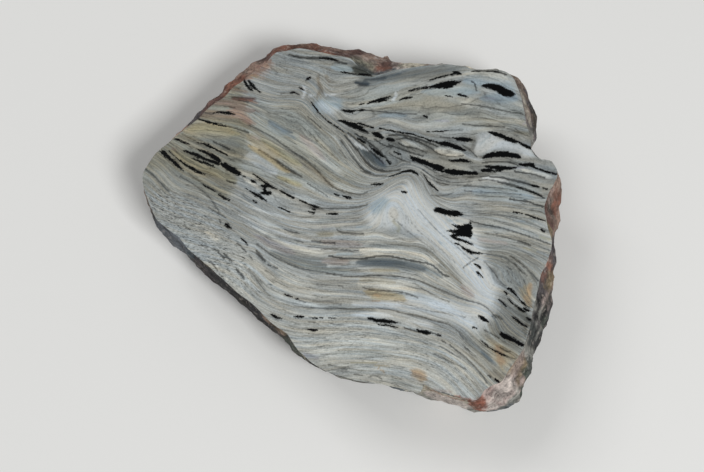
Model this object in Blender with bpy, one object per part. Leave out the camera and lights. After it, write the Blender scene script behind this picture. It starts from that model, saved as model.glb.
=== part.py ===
"""A stromatolite: one block of finely banded chert, the stone left by layered microbial mats.

One side was sawn flat and polished, the side opposite was sawn flat to rest on, and the
rim between them is broken stone. The block lies on its sawn back with the polished face
up. The solid is a loft: rings of points run round the block, from the edge of the polished
face, over a broken shoulder, down to the edge of the sawn back.

Metres, +Z up. The origin is in the middle of the block's box, on the surface it rests on.
"""

import math

import bmesh
import bpy
from mathutils import Vector, noise

MM = 0.001

# Driving dimensions, in millimetres.
THICKNESS = 45.0  # polished face to sawn back
DRAWING_CENTRE = (1.13, 13.97)  # where the middle of the box is in the outline's own x and y
WAIST_TUCK = 4.0  # how far the rim draws in, halfway from its shoulder to the back
BACK_TUCK = 7.0  # how far it has drawn in near the back
BACK_CHIP = 1.6  # the broken arris round the sawn back: its height and its width
HALFWAY_DROP = 0.45  # the rounding of the shoulder: at this share of its drop it has
HALFWAY_REACH = 0.62  # gained this share of its reach

# The steps of the loft and the unevenness of the broken rim.
STEPS_BETWEEN_POINTS = 2
NORMAL_SPREAD = 5  # neighbours each way that a ring point's outward direction is averaged over
BLOCKY_SIZE = 24.0
BLOCKY_DEPTH = 2.4
CHIP_SIZE = 8.0
CHIP_DEPTH = 1.0
EDGE_NIBBLE = 0.35  # in-plane wobble of the polished face's edge
NOISE_SEAT = 71.3  # where in the endless noise this block's own unevenness is read

# The polished face's edge, clockwise from the left tip. Each point is x, y, then the reach
# of the broken rim's shoulder beyond it (negative where the rim is undercut) and how deep
# below the face that shoulder lies. Millimetres, before DRAWING_CENTRE is moved to zero.
UPPER_LEFT_EDGE = [
    (-112.0, 34.0, -1.0, 16.0),
    (-109.6, 41.3, -1.0, 14.0),
    (-103.5, 49.5, 0.0, 10.0),
    (-96.0, 56.5, 1.0, 8.0),
    (-89.0, 63.5, 2.5, 6.0),
    (-83.0, 69.5, 4.0, 6.0),
    (-78.0, 75.0, 5.5, 6.0),
    (-70.5, 80.2, 6.0, 6.0),
    (-65.5, 86.0, 6.0, 6.0),
    (-60.5, 90.0, 6.5, 6.0),
    (-55.0, 95.5, 7.0, 7.0),
    (-50.0, 99.3, 6.5, 7.0),
    (-45.5, 105.0, 5.5, 6.0),
    (-42.0, 108.5, 6.0, 6.0),
]
TOP_EDGE = [
    (-36.5, 109.7, 7.0, 7.0),
    (-30.0, 111.0, 6.5, 7.0),
    (-20.0, 109.5, 8.5, 8.0),
    (-10.0, 107.3, 8.5, 8.0),
    (-1.0, 105.0, 11.5, 10.0),
    (4.0, 100.0, 16.5, 13.0),
    (10.5, 95.2, 19.5, 14.0),
    (15.0, 94.8, 19.0, 14.0),
    (19.0, 96.0, 16.0, 12.0),
    (23.5, 97.6, 11.5, 10.0),
    (29.0, 98.5, 5.5, 7.0),
    (38.0, 99.8, 2.0, 4.0),
    (52.0, 101.0, 1.2, 4.0),
    (62.0, 99.8, 1.2, 4.0),
    (66.5, 98.2, 1.2, 4.0),
    (76.0, 98.0, 1.2, 4.0),
    (84.0, 96.8, 2.0, 4.0),
    (88.0, 93.5, 4.5, 6.0),
]
RIGHT_EDGE = [
    (90.5, 87.5, 6.0, 8.0),
    (92.5, 78.0, 8.0, 12.0),
    (94.0, 70.5, 9.0, 14.0),
    (95.5, 63.0, 7.0, 14.0),
    (97.5, 57.5, 2.5, 12.0),
    (96.8, 51.0, 0.5, 10.0),
    (98.5, 46.2, 0.5, 8.0),
    (101.5, 44.1, 1.0, 8.0),
    (107.0, 42.5, 1.5, 8.0),
    (109.8, 38.0, 3.0, 10.0),
    (110.0, 34.0, 4.5, 12.0),
    (107.0, 28.0, 7.5, 18.0),
    (104.0, 22.0, 11.0, 22.0),
    (102.0, 16.5, 11.0, 22.0),
    (102.6, 10.5, 8.5, 20.0),
    (103.0, 5.0, 4.5, 18.0),
    (104.0, 0.0, 3.5, 18.0),
    (104.4, -5.0, 4.0, 18.0),
    (103.0, -11.0, 6.0, 18.0),
    (100.5, -17.0, 7.0, 20.0),
    (98.0, -23.0, 9.5, 22.0),
    (96.3, -29.5, 11.5, 24.0),
    (94.0, -38.0, 10.5, 26.0),
    (92.5, -46.0, 9.0, 26.0),
    (90.0, -54.0, 7.0, 26.0),
    (87.0, -61.0, 5.5, 24.0),
    (84.0, -66.0, 8.5, 22.0),
    (79.5, -72.0, 11.0, 20.0),
    (75.5, -78.2, 11.0, 18.0),
]
BOTTOM_EDGE = [
    (71.5, -79.8, 10.5, 17.0),
    (66.5, -82.6, 9.5, 14.0),
    (63.0, -87.6, 2.6, 10.0),
    (56.0, -87.2, 0.5, 8.0),
    (48.0, -85.0, 0.5, 8.0),
    (40.5, -82.8, 1.0, 8.0),
    (36.5, -80.6, 1.5, 9.0),
    (34.0, -84.4, -3.5, 15.0),
    (25.0, -82.5, -5.0, 20.0),
    (15.0, -79.6, -5.0, 20.0),
    (5.0, -78.0, -4.5, 20.0),
    (-5.0, -75.6, -4.0, 20.0),
    (-15.0, -72.0, -3.2, 20.0),
    (-22.0, -67.0, -2.2, 20.0),
    (-28.0, -60.5, -1.4, 20.0),
]
LOWER_LEFT_EDGE = [
    (-33.0, -53.5, -0.8, 20.0),
    (-41.0, -47.5, -0.5, 20.0),
    (-50.0, -39.0, 0.0, 20.0),
    (-59.0, -31.0, 0.3, 20.0),
    (-68.0, -23.0, 0.0, 20.0),
    (-77.0, -15.0, 0.0, 20.0),
    (-85.0, -8.0, 0.4, 20.0),
    (-92.0, 0.0, 1.0, 20.0),
    (-100.0, 6.0, 0.9, 20.0),
    (-104.6, 11.5, 0.5, 20.0),
    (-109.0, 22.0, -0.6, 18.0),
    (-111.7, 29.0, -1.0, 17.0),
]
FACE_EDGE = UPPER_LEFT_EDGE + TOP_EDGE + RIGHT_EDGE + BOTTOM_EDGE + LOWER_LEFT_EDGE

# The stone's middle colour and its shine.
CHERT_COLOUR = (0.30, 0.29, 0.25, 1.0)
CHERT_ROUGHNESS = 0.35


def clear_scene():
    """Remove whatever objects the scene starts with."""
    for old in list(bpy.data.objects):
        bpy.data.objects.remove(old)


def between(before, start, end, after, share):
    """A point on the smooth curve through four neighbours, between the middle two."""
    squared, cubed = share * share, share**3
    return 0.5 * (
        2 * start
        + (end - before) * share
        + (2 * before - 5 * start + 4 * end - after) * squared
        + (3 * start - before - 3 * end + after) * cubed
    )


def smooth_edge():
    """The face's edge as (place, reach, drop), with extra steps on a smooth curve."""
    stations = [Vector(point) for point in FACE_EDGE]
    count = len(stations)
    samples = []
    for index in range(count):
        around = [stations[(index + step) % count] for step in (-1, 0, 1, 2)]
        for step in range(STEPS_BETWEEN_POINTS):
            sample = between(*around, step / STEPS_BETWEEN_POINTS)
            samples.append((Vector(sample[:2]), sample[2], sample[3]))
    return samples


def outward_directions(places):
    """One outward direction for each ring point, averaged over its neighbours."""
    count = len(places)
    found = []
    for index in range(count):
        total = Vector((0.0, 0.0))
        for step in range(-NORMAL_SPREAD, NORMAL_SPREAD + 1):
            along = places[(index + step + 1) % count] - places[(index + step - 1) % count]
            total += Vector((-along.y, along.x))
        found.append(total.normalized())
    return found


def uneven(place, depth):
    """How far broken stone stands out at this place and depth, in millimetres."""
    seat = Vector((place.x, place.y, depth)) + Vector((NOISE_SEAT,) * 3)
    blocky = noise.noise(seat / BLOCKY_SIZE) * BLOCKY_DEPTH
    chips = noise.noise(seat / CHIP_SIZE) * CHIP_DEPTH
    return blocky + chips


def eased(places, rounds):
    """The same ring with its points spread more evenly, so that none crowd in a hollow."""
    count = len(places)
    for _ in range(rounds):
        places = [
            places[index] / 2 + (places[index - 1] + places[(index + 1) % count]) / 4
            for index in range(count)
        ]
    return places


def ring_points(samples, outward, depth_of, reach_of, easing, roughness):
    """One ring of the loft. depth_of takes a point's own drop, and reach_of its reach."""
    drawn = [
        place + direction * reach_of(reach)
        for (place, reach, _), direction in zip(samples, outward)
    ]
    ring = []
    for at, direction, (place, _, drop) in zip(eased(drawn, easing), outward, samples):
        depth = depth_of(drop)
        at = at + direction * uneven(place, depth) * roughness
        ring.append(
            (
                (at.x - DRAWING_CENTRE[0]) * MM,
                (at.y - DRAWING_CENTRE[1]) * MM,
                (THICKNESS - depth) * MM,
            )
        )
    return ring


def rim_rings():
    """The rings from the polished face's edge to the sawn back's."""
    samples = smooth_edge()
    outward = outward_directions([place for place, _, _ in samples])
    back = BACK_TUCK + BACK_CHIP
    # Each level: its depth, its reach, then how much its points are eased and how rough it is.
    levels = [
        (lambda drop: 0.0, lambda reach: 0.0, 0, EDGE_NIBBLE),
        (lambda drop: drop * HALFWAY_DROP, lambda reach: reach * HALFWAY_REACH, 2, 0.5),
        (lambda drop: drop, lambda reach: reach, 3, 0.7),
        (lambda drop: (THICKNESS + drop) / 2, lambda reach: reach - WAIST_TUCK, 4, 1.0),
        (lambda drop: THICKNESS - BACK_CHIP, lambda reach: reach - BACK_TUCK, 4, 1.0),
        (lambda drop: THICKNESS, lambda reach: reach - back, 4, 1.0),
    ]
    return [ring_points(samples, outward, *level) for level in levels]


def loft(rings):
    """A closed mesh through the rings, with a flat face filled in the first and the last."""
    shape = bmesh.new()
    rows = [[shape.verts.new(point) for point in ring] for ring in rings]
    for upper, lower in zip(rows, rows[1:]):
        for index in range(len(upper)):
            after = (index + 1) % len(upper)
            shape.faces.new((upper[index], upper[after], lower[after], lower[index]))
    for rim in (rows[0], rows[-1]):
        shape.faces.new(rim)
    bmesh.ops.recalc_face_normals(shape, faces=shape.faces)
    return shape


def chert_material():
    """Grey, dense, polished stone."""
    material = bpy.data.materials.new("banded_chert")
    material.use_nodes = True
    shader = material.node_tree.nodes["Principled BSDF"]
    shader.inputs["Base Color"].default_value = CHERT_COLOUR
    shader.inputs["Roughness"].default_value = CHERT_ROUGHNESS
    shader.inputs["Metallic"].default_value = 0.0
    return material


def make_block(collection):
    """The whole stone, as one solid."""
    shape = loft(rim_rings())
    mesh = bpy.data.meshes.new("stromatolite")
    shape.to_mesh(mesh)
    shape.free()
    mesh.materials.append(chert_material())
    block = bpy.data.objects.new("stromatolite", mesh)
    collection.objects.link(block)
    return block


def main():
    clear_scene()
    collection = bpy.data.collections.new("Stromatolite")
    bpy.context.scene.collection.children.link(collection)
    block = make_block(collection)
    corners = [[vertex.co[axis] / MM for vertex in block.data.vertices] for axis in range(3)]
    low = [round(min(values), 2) for values in corners]
    high = [round(max(values), 2) for values in corners]
    edges = sum(math.dist(a[:2], b[:2]) for a, b in zip(FACE_EDGE, FACE_EDGE[1:]))
    print(f"box in mm: {low} to {high}, polished edge about {edges:.0f} mm round")


main()
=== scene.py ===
# %% [markdown]
# # A polished slab of banded chert
#
# The stone is the fossil of a microbial mound: thousands of thin layers of grey chert, with
# lenses of black chert between them. One side is sawn and polished, the rim is broken rock
# with a rust-red skin, and the back is sawn flat. It is one solid, so it is one piece here.
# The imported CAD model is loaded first, because it gives the true size and place.

# %% Load the fixed frame
import math

import bmesh
import bpy
import numpy as np
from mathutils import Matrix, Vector, geometry, noise


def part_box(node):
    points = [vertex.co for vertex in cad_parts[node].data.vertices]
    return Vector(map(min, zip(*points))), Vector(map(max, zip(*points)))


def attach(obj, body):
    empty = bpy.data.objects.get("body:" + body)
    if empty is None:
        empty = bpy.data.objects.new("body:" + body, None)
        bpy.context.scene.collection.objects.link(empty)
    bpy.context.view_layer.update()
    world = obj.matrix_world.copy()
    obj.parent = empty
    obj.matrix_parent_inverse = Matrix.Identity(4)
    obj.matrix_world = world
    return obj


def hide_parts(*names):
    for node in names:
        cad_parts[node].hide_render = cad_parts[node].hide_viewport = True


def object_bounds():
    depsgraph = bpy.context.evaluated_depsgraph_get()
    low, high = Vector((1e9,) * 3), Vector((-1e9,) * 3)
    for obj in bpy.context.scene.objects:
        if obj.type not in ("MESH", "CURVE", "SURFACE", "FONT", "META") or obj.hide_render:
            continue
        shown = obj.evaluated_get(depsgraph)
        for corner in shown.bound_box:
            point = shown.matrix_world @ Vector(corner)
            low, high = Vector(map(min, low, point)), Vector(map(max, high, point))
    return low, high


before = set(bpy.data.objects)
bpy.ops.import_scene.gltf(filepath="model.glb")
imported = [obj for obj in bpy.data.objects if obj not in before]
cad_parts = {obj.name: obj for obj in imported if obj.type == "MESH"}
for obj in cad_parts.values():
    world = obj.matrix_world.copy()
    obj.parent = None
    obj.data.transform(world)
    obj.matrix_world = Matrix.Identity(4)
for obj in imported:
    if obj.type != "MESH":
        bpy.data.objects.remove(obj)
cad_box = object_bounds()
print("CAD box, mm:", [[round(1000 * x, 2) for x in corner] for corner in cad_box])

# %% [markdown]
# ## Units and the drawing
#
# Blender works in metres, but a hand-sized stone is easier to think of in millimetres. All
# marks are drawn on a plan of the polished face, in millimetres, with x to the right and y
# up. The plan's own zero was set near the middle of the pattern, so two functions carry
# points between the plan and the scene.

# %% From the plan to the scene and back
MM = 0.001
PLAN_CENTRE = np.array((1.13, 13.97))   # the plan point that stands over the scene's zero
FACE_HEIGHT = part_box("stromatolite")[1].z
THICKNESS = FACE_HEIGHT / MM            # mm


def to_scene(places, height=FACE_HEIGHT):
    """Scene points, in metres, of plan points in millimetres."""
    return np.column_stack(((places - PLAN_CENTRE) * MM, np.full(len(places), height)))


def to_plan(points):
    """Plan points, in millimetres, of scene points in metres."""
    return np.asarray(points)[:, :2] / MM + PLAN_CENTRE


print(f"the slab is {THICKNESS:.0f} mm thick")

# %% [markdown]
# ## Camera
#
# The stone lies on its sawn back, so its polished face looks up. The camera stands high over
# the near edge and looks down at 70 degrees, with a fairly long lens that keeps the outline
# from being stretched.

# %% Place the camera
CAMERA_DISTANCE = 669.0     # mm, from the lens to the plan's zero
CAMERA_ELEVATION = math.radians(70)
CAMERA_LENS = 65.0          # mm
SENSOR_WIDTH = 36.0         # mm


def put_in_scene(name, data):
    """A new object for a mesh, a lamp or a camera."""
    made = bpy.data.objects.new(name, data)
    bpy.context.scene.collection.objects.link(made)
    return made


def facing(direction):
    """The turn that points a camera or a lamp along a direction."""
    return direction.to_track_quat("-Z", "Y").to_euler()


def place_camera():
    """A camera that looks at the plan's zero from above the near edge."""
    back = Vector((0, -math.cos(CAMERA_ELEVATION), math.sin(CAMERA_ELEVATION)))
    data = bpy.data.cameras.new("camera")
    data.lens = CAMERA_LENS
    data.sensor_width = SENSOR_WIDTH
    camera = put_in_scene("camera", data)
    camera.location = Vector(to_scene(np.zeros((1, 2)))[0]) + back * CAMERA_DISTANCE * MM
    camera.rotation_euler = facing(-back)
    bpy.context.scene.camera = camera
    return camera


camera = place_camera()
print("camera at", [round(x, 3) for x in camera.location])

# %% [markdown]
# ## Floor and light
#
# A pale floor and two soft lamps. The stronger lamp hangs to the lower right, so the broken
# corner there is bright and the shadow falls away behind the stone. A wide lamp from the
# other side softens it, and the world adds an even fill. The Standard view keeps the greys
# of the stone as they are set, where Blender's default would fade them.

# %% Make the floor, the lamps and the world
FLOOR_SIZE = 14.0           # m
FLOOR_COLOUR = (222, 222, 220)      # as it looks on a screen, 0 to 255
FLOOR_ROUGHNESS = 0.9
LAMPS = (       # name, place and size in metres, power in watts
    ("key_lamp", (0.85, -1.15, 1.9), 0.7, 38.0),
    ("fill_lamp", (-1.25, 1.15, 1.7), 1.2, 21.0),
)
WORLD_STRENGTH = 0.22


def add(tree, kind, inputs=None, **settings):
    """Adds a node. Each input is a value, or another node's output that is linked to it."""
    node = tree.nodes.new(kind)
    for name, value in settings.items():
        setattr(node, name, value)
    for key, value in (inputs or {}).items():
        if isinstance(value, bpy.types.NodeSocket):
            tree.links.new(value, node.inputs[key])
        else:
            node.inputs[key].default_value = value
    return node


def linear(red, green, blue):
    """A colour given as it looks on a screen, 0 to 255, in the linear values nodes use."""
    screen = np.array((red, green, blue)) / 255
    light = np.where(screen > 0.04045, ((screen + 0.055) / 1.055) ** 2.4, screen / 12.92)
    return tuple(float(x) for x in light)


def new_material(name, values):
    """A material whose Principled BSDF is set to the given values."""
    material = bpy.data.materials.new(name)
    material.use_nodes = True
    tree = material.node_tree
    tree.nodes.clear()
    shader = add(tree, "ShaderNodeBsdfPrincipled", values)
    add(tree, "ShaderNodeOutputMaterial", {"Surface": shader.outputs["BSDF"]})
    return material, tree, shader


def make_floor():
    """A plain pale floor just under the stone."""
    colour = (*linear(*FLOOR_COLOUR), 1)
    material = new_material("pale_floor", {"Base Color": colour,
                                           "Roughness": FLOOR_ROUGHNESS})[0]
    half = FLOOR_SIZE / 2
    mesh = bpy.data.meshes.new("floor")
    mesh.from_pydata([(-half, -half, 0), (half, -half, 0), (half, half, 0), (-half, half, 0)],
                     [], [(0, 1, 2, 3)])
    mesh.materials.append(material)
    put_in_scene("floor", mesh)


def soft_lamp(name, place, size, power):
    """A square area lamp, turned towards the scene's zero under the stone."""
    data = bpy.data.lights.new(name, "AREA")
    data.size = size
    data.energy = power
    lamp = put_in_scene(name, data)
    lamp.location = place
    lamp.rotation_euler = facing(-Vector(place))


def light_the_world():
    """An even white surround."""
    world = bpy.data.worlds.new("surround")
    world.use_nodes = True
    background = world.node_tree.nodes["Background"]
    background.inputs["Color"].default_value = (1, 1, 1, 1)
    background.inputs["Strength"].default_value = WORLD_STRENGTH
    bpy.context.scene.world = world


make_floor()
for lamp in LAMPS:
    soft_lamp(*lamp)
light_the_world()
bpy.context.scene.view_settings.view_transform = "Standard"
print("the floor,", len(LAMPS), "lamps and the surround are in place")

# %% [markdown]
# ## How the layers run
#
# Everything on the face follows its layers, so they come first. A few layers are traced on
# the plan, each with its height in the pile, as on a contour map. A thin plate, the
# smoothest sheet that can be bent through given heights, fills in the rest. Where a line
# was traced but its height isn't known, None stands for it, and the plate finds the height
# too. The height at a point tells which layer it belongs to, and the plate's slope there
# tells which way the layer runs.

# %% The traced layers
TRACED_LAYERS = (      # height in the pile, x and y of each point in turn, in mm
    (-74, (0, -74, 10, -75, 20, -76.5, 30, -79.5)),
    (-64, (-20, -66, -10, -64.5, 0, -64, 15, -64.5, 30, -66, 40, -69, 50, -75)),
    (-45, (-30, -44, -18, -45, -8, -45, 5, -45, 12, -46, 22, -48, 33, -51.5, 45, -54.5, 55, -60, 65, -68,
     73, -77)),
    (-40, (-50, -27, -46, -31, -40, -34.5, -32, -37.5, -22, -39.5, -10, -40.5, 0, -40, 10, -40, 20, -40.5,
     30, -43, 40, -46, 50, -49, 56, -53, 62, -60, 70, -67, 77, -74)),
    (-32, (-44, -20, -40, -24, -35, -26.5, -28, -29.5, -18, -31.5, -5, -32, 8, -33.5, 20, -35, 30, -36,
     45, -40, 58, -46, 66, -52)),
    (-22, (-50, -5, -43, -11, -35, -15, -25, -19, -15, -21, -5, -22, 5, -22, 15, -21.5, 25, -22, 33, -24,
     40, -27, 50, -31.5, 57, -35, 65, -37, 70, -40, 75, -44)),
    (-12, (-60, 5, -52, -1.5, -45, -5.5, -35, -9, -25, -11.5, -12, -12, 0, -12, 8, -11.5, 20, -12, 30, -14,
     40, -18, 46, -23, 55, -29)),
    (-9, (-68, 11, -60, 5.8, -52, 0.8, -45, -3.5, -35, -7, -25, -9, -15, -10, -5, -9, 10, -8.5, 25, -9,
     38, -13)),
    (-3.5, (-73, 18, -66, 13, -60, 10, -50, 5, -40, 1.5, -30, -1, -20, -3, -10, -3.8, 5, -4, 15, -4,
     30, -5.5, 42, -11)),
    (2, (-65, 20.5, -60, 17.5, -50, 12, -40, 6.8, -30, 3, -20, 0.8, -5, 1.8, 5, 1, 20, 0, 30, -2)),
    (12.5, (-80, 38, -68, 32, -57, 27, -46, 20, -38, 16, -33, 13.5, -25, 12.3, -13, 12, -5, 12.5, 3, 13)),
    (15, (-90.5, 48.5, -82, 45, -71, 41, -60, 35, -53, 33, -45, 29, -38, 25.5, -31, 21.5, -25, 19, -17, 16,
     -8, 15, 0, 15.5, 7, 17)),
    (20.5, (-67, 46.5, -56, 43, -45, 37.5, -37, 34, -30, 30.5, -25, 28.5, -20, 26, -15, 23, -8, 20.5, 0, 20,
     7, 20.5)),
    (26.5, (-55, 58, -45, 52, -37, 47, -30, 43, -25, 39.5, -20, 35.5, -15, 31.5, -10, 28.5, -5, 26.5,
     0, 24.5, 5, 23.5, 10, 24.5, 15, 26, 20, 30, 25, 33, 30, 34.5)),
    (44.5, (-45, 70, -35, 65, -24, 58, -15, 52, -10, 47, -5, 42)),
    (48, (-45, 76, -38, 76, -32, 75, -27, 72.5, -22, 68, -18, 64, -12, 58, -8, 54, -4, 48, 0, 43, 5, 37.5,
     10, 35, 20, 35.5)),
    (60, (-22.5, 78, -17, 70, -9, 64, -4, 59.5, 2, 53, 6, 46, 10, 41, 14, 37.5, 20, 36.8, 25, 37.5,
     30, 38.5, 34, 38, 38, 35, 42, 29, 46, 26, 55, 25, 70, 25, 85, 24, 100, 21)),
    (63, (20, 47.5, 25, 44.5, 30, 42.5, 36, 39.5, 42, 36, 48, 33, 55, 31, 65, 31.5, 72, 32, 85, 29,
     100, 24)),
    (66, (31, 45.5, 40, 42, 48, 38.5, 58, 36.5, 67, 35.5, 80, 37, 90, 37, 100, 35, 108, 33)),
    (68, (33, 49, 40, 47, 50, 45.5, 60, 46, 66, 44, 75, 42.5, 90, 42, 104, 38.5)),
    (73, (-6, 66.5, 2, 63.5, 12, 62.5, 30, 61.5, 40, 60.2, 48, 60, 60, 61.5, 70, 62.5, 80, 63, 88, 61,
     97, 57)),
    (77, (-6, 73, 5, 73, 15, 72, 30, 71, 40, 70, 60, 70.5, 80, 69, 93, 67)),
    (81, (4, 76.5, 10, 78, 20, 81, 30, 84.5, 40, 86.5, 50, 88, 60, 90, 70, 89, 80, 86, 90, 82)),
    (84, (-15, 83, -5, 82, 5, 82, 15, 84, 25, 87, 35, 89.5, 45, 92, 55, 95, 65, 97, 75, 97, 86, 95)),
    (86, (8, 91, 15, 91.5, 25, 92.5, 35, 94.5, 45, 96.5)),
    (98, (-35, 107.5, -30, 106, -20, 105, -10, 104.5, 0, 102, 5, 98, 11, 94.5)),
    (None, (9, 52, 17, 45.5, 21, 40)),
    (None, (15, 62, 25, 60.5, 35, 57.5, 45, 53.5, 52, 52, 61, 49.5, 67, 46)),
    (None, (-39, 83, -29, 83, -24, 81, -21, 77)), (None, (-96, 55.8, -92, 54.5, -88, 52.3, -80, 48.5)),
    (None, (-92, 58.5, -87, 56, -82, 53.5, -77, 51.5, -72, 49, -67, 46.5)),
    (None, (-83, 67.5, -78, 66, -73, 64.3, -69, 63.5, -63, 62, -58, 60.5)),
    (None, (-79, 72, -70, 71.3, -62, 70.5)), (None, (-69, 80.5, -63, 79, -58, 78)),
    (None, (-89, 61.5, -80, 62.3, -70, 61, -62, 58.5, -55, 54.5, -50, 51.5)),
    (None, (-111, 38, -105, 34, -101, 29, -97, 25)), (None, (-98.5, 49, -90, 41, -80, 36)),
    (None, (-80, 28.5, -72, 23.5, -65, 20.5)), (None, (43, 23, 60, 20, 80, 18.5, 100, 17)),
    (None, (85, 13.5, 92, 12, 102, 8.5)), (None, (60, 8, 70, 7, 80, 4.5, 90, 1.5, 100, -3)),
    (None, (65, -1, 75, -2, 85, -3, 93, -5.5, 102, -9)),
    (None, (68, -10, 78, -11, 85, -15, 90, -20, 95, -25)),
    (None, (70, -15, 76, -20, 82, -30, 88, -36, 93, -41)), (None, (75, -35, 80, -39, 90, -46)),
    (None, (77, -53, 88, -60)), (None, (65.5, -56.5, 80, -65)),
    (None, (33, 33, 36, 25, 42, 15, 50, 6, 56, 0)),
    (None, (28, 24, 35, 14, 45, 3, 55, -7, 64, -18, 72, -30)),
    (None, (20, 20, 28, 10, 38, 0, 50, -12, 60, -24, 68, -33)),
)

# %% Bend the plate through them
PLATE_SOFTNESS = 20.0       # how far the plate may miss a traced height, to stay smooth
POINTS_AT_ONCE = 4000
TINY = 1e-9                 # keeps divisions and logarithms away from zero


def in_points(numbers, size=2):
    """Points from a row of numbers that holds x, y and so on of each point in turn."""
    return np.reshape(np.array(numbers, float), (-1, size))


def plate_terms(points, supports):
    """The bend that each support gives the plate at each point, and its slope along x, y."""
    gap = points[:, None, :] - supports[None, :, :]
    square = np.maximum((gap ** 2).sum(2), TINY)
    log = np.log(square)
    return 0.5 * square * log, gap * (log + 1)[..., None]


def solve_plate(lines):
    """The plate through the traced layers: its supports, their weights and its tilt."""
    traced = [in_points(numbers) for _, numbers in lines]
    supports = np.concatenate(traced)
    owner = np.repeat(np.arange(len(lines)), [len(points) for points in traced])
    unknown = [k for k, line in enumerate(lines) if line[0] is None]
    heights = np.array([lines[k][0] or 0.0 for k in owner])
    count = len(supports)
    bend = plate_terms(supports, supports)[0] + PLATE_SOFTNESS * np.eye(count)
    tilt = np.column_stack((np.ones(count), supports))
    level = np.array([[-1.0 * (k == u) for u in unknown] for k in owner])
    side = np.hstack((tilt, level))
    table = np.block([[bend, side], [side.T, np.zeros((side.shape[1],) * 2)]])
    answer = np.linalg.solve(table, np.append(heights, np.zeros(side.shape[1])))
    return supports, answer[:count], answer[count:count + 3]


def read_plate(plate, points):
    """The layer height at plan points, and its slope there."""
    supports, weights, tilt = plate
    heights, slopes = [], []
    for start in range(0, len(points), POINTS_AT_ONCE):
        some = points[start:start + POINTS_AT_ONCE]
        bend, lean = plate_terms(some, supports)
        heights.append(bend @ weights + tilt[0] + some @ tilt[1:])
        slopes.append(np.einsum("pkc,k->pc", lean, weights) + tilt[1:])
    return np.concatenate(heights), np.concatenate(slopes)


plate = solve_plate(TRACED_LAYERS)
print(f"{len(plate[0])} points carry the plate")

# %% [markdown]
# ## Brushes
#
# A mark is a path of points, each with its own width, like a stroke of a brush that is
# pressed harder and lighter. A smooth curve is run through the points first. For every
# plan point near it, the brush then says how deep inside the stroke that point lies, in
# millimetres: below zero is outside.

# %% Brush helpers
CURVE_STEPS = 4             # points of the smooth curve for each point that is given
SLIM_END = 0.4              # width of the end of a swollen stroke, as a share of its middle


def smooth_path(points, closed=False):
    """A Catmull-Rom curve through points, which may carry more values than x and y."""
    if len(points) < 3:
        return points
    if closed:
        padded = np.vstack((points[-1], points, points[:2]))
    else:
        padded = np.vstack((2 * points[0] - points[1], points, 2 * points[-1] - points[-2]))
    before, start, end, after = padded[:-3], padded[1:-2], padded[2:-1], padded[3:]
    curve = []
    for step in range(CURVE_STEPS):
        t = step / CURVE_STEPS
        curve.append(0.5 * (2 * start + (end - before) * t
                            + (2 * before - 5 * start + 4 * end - after) * t ** 2
                            + (3 * start - before - 3 * end + after) * t ** 3))
    curve = np.stack(curve, 1).reshape(-1, points.shape[1])
    return curve if closed else np.vstack((curve, points[-1]))


def swollen(width, numbers):
    """A smooth stroke of one width that thins out towards both ends."""
    path = smooth_path(in_points(numbers))
    share = np.linspace(-1, 1, len(path))
    return np.column_stack((path, width * (SLIM_END + (1 - SLIM_END) * (1 - share ** 4))))


def eased(value):
    """Runs smoothly from 0 to 1."""
    value = np.clip(value, 0, 1)
    return value * value * (3 - 2 * value)


def gaps_to(points, path):
    """The distance from each point to each stretch of a path, and how far along it lies."""
    start, run = path[:-1, :2], np.diff(path[:, :2], axis=0)
    offset = points[:, None, :] - start
    share = (offset * run).sum(2) / np.maximum((run ** 2).sum(1), TINY)
    share = np.clip(share, 0, 1)
    return np.linalg.norm(offset - share[..., None] * run, axis=2), share


def points_near(plan, path, margin):
    """The indices of the plan points within a margin of a path's box."""
    inside = (plan > path[:, :2].min(0) - margin) & (plan < path[:, :2].max(0) + margin)
    return np.flatnonzero(inside.all(1))


def depth_in_stroke(plan, path, margin):
    """The plan points near a stroke, their depth inside it and its half width there."""
    near = points_near(plan, path, margin + path[:, 2].max() / 2)
    gap, share = gaps_to(plan[near], path)
    half = (path[:-1, 2] + share * np.diff(path[:, 2])) / 2
    best = (half - gap).argmax(1) if len(near) else np.zeros(0, int)
    rows = np.arange(len(near))
    return near, (half - gap)[rows, best], half[rows, best]


def depth_in_area(plan, outline, margin):
    """The plan points near a closed outline, and their depth inside it."""
    near = points_near(plan, outline, margin)
    ring = np.vstack((outline, outline[:1]))
    gap = gaps_to(plan[near], ring)[0].min(1) if len(near) else np.zeros(0)
    start, end = ring[:-1], ring[1:]
    x, y = plan[near, 0, None], plan[near, 1, None]
    crosses = (start[:, 1] > y) != (end[:, 1] > y)
    rise = np.where(end[:, 1] == start[:, 1], TINY, end[:, 1] - start[:, 1])
    left = x < start[:, 0] + (y - start[:, 1]) * (end[:, 0] - start[:, 0]) / rise
    inside = (crosses & left).sum(1) % 2 == 1
    return near, np.where(inside, gap, -gap)


print("a curve through 3 points has", len(smooth_path(in_points((0, 0, 1, 1, 2, 0)))), "points")

# %% [markdown]
# ## Black chert lenses
#
# The lenses are black chert that replaced single layers, so most of them are spindles that
# lie along the layers. Each is a stroke, point by point, with its width at every point. They
# are kept as strokes, and not painted straight away, because their depth is handed to the
# material, which frays their edges as the real ones are frayed.

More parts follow.
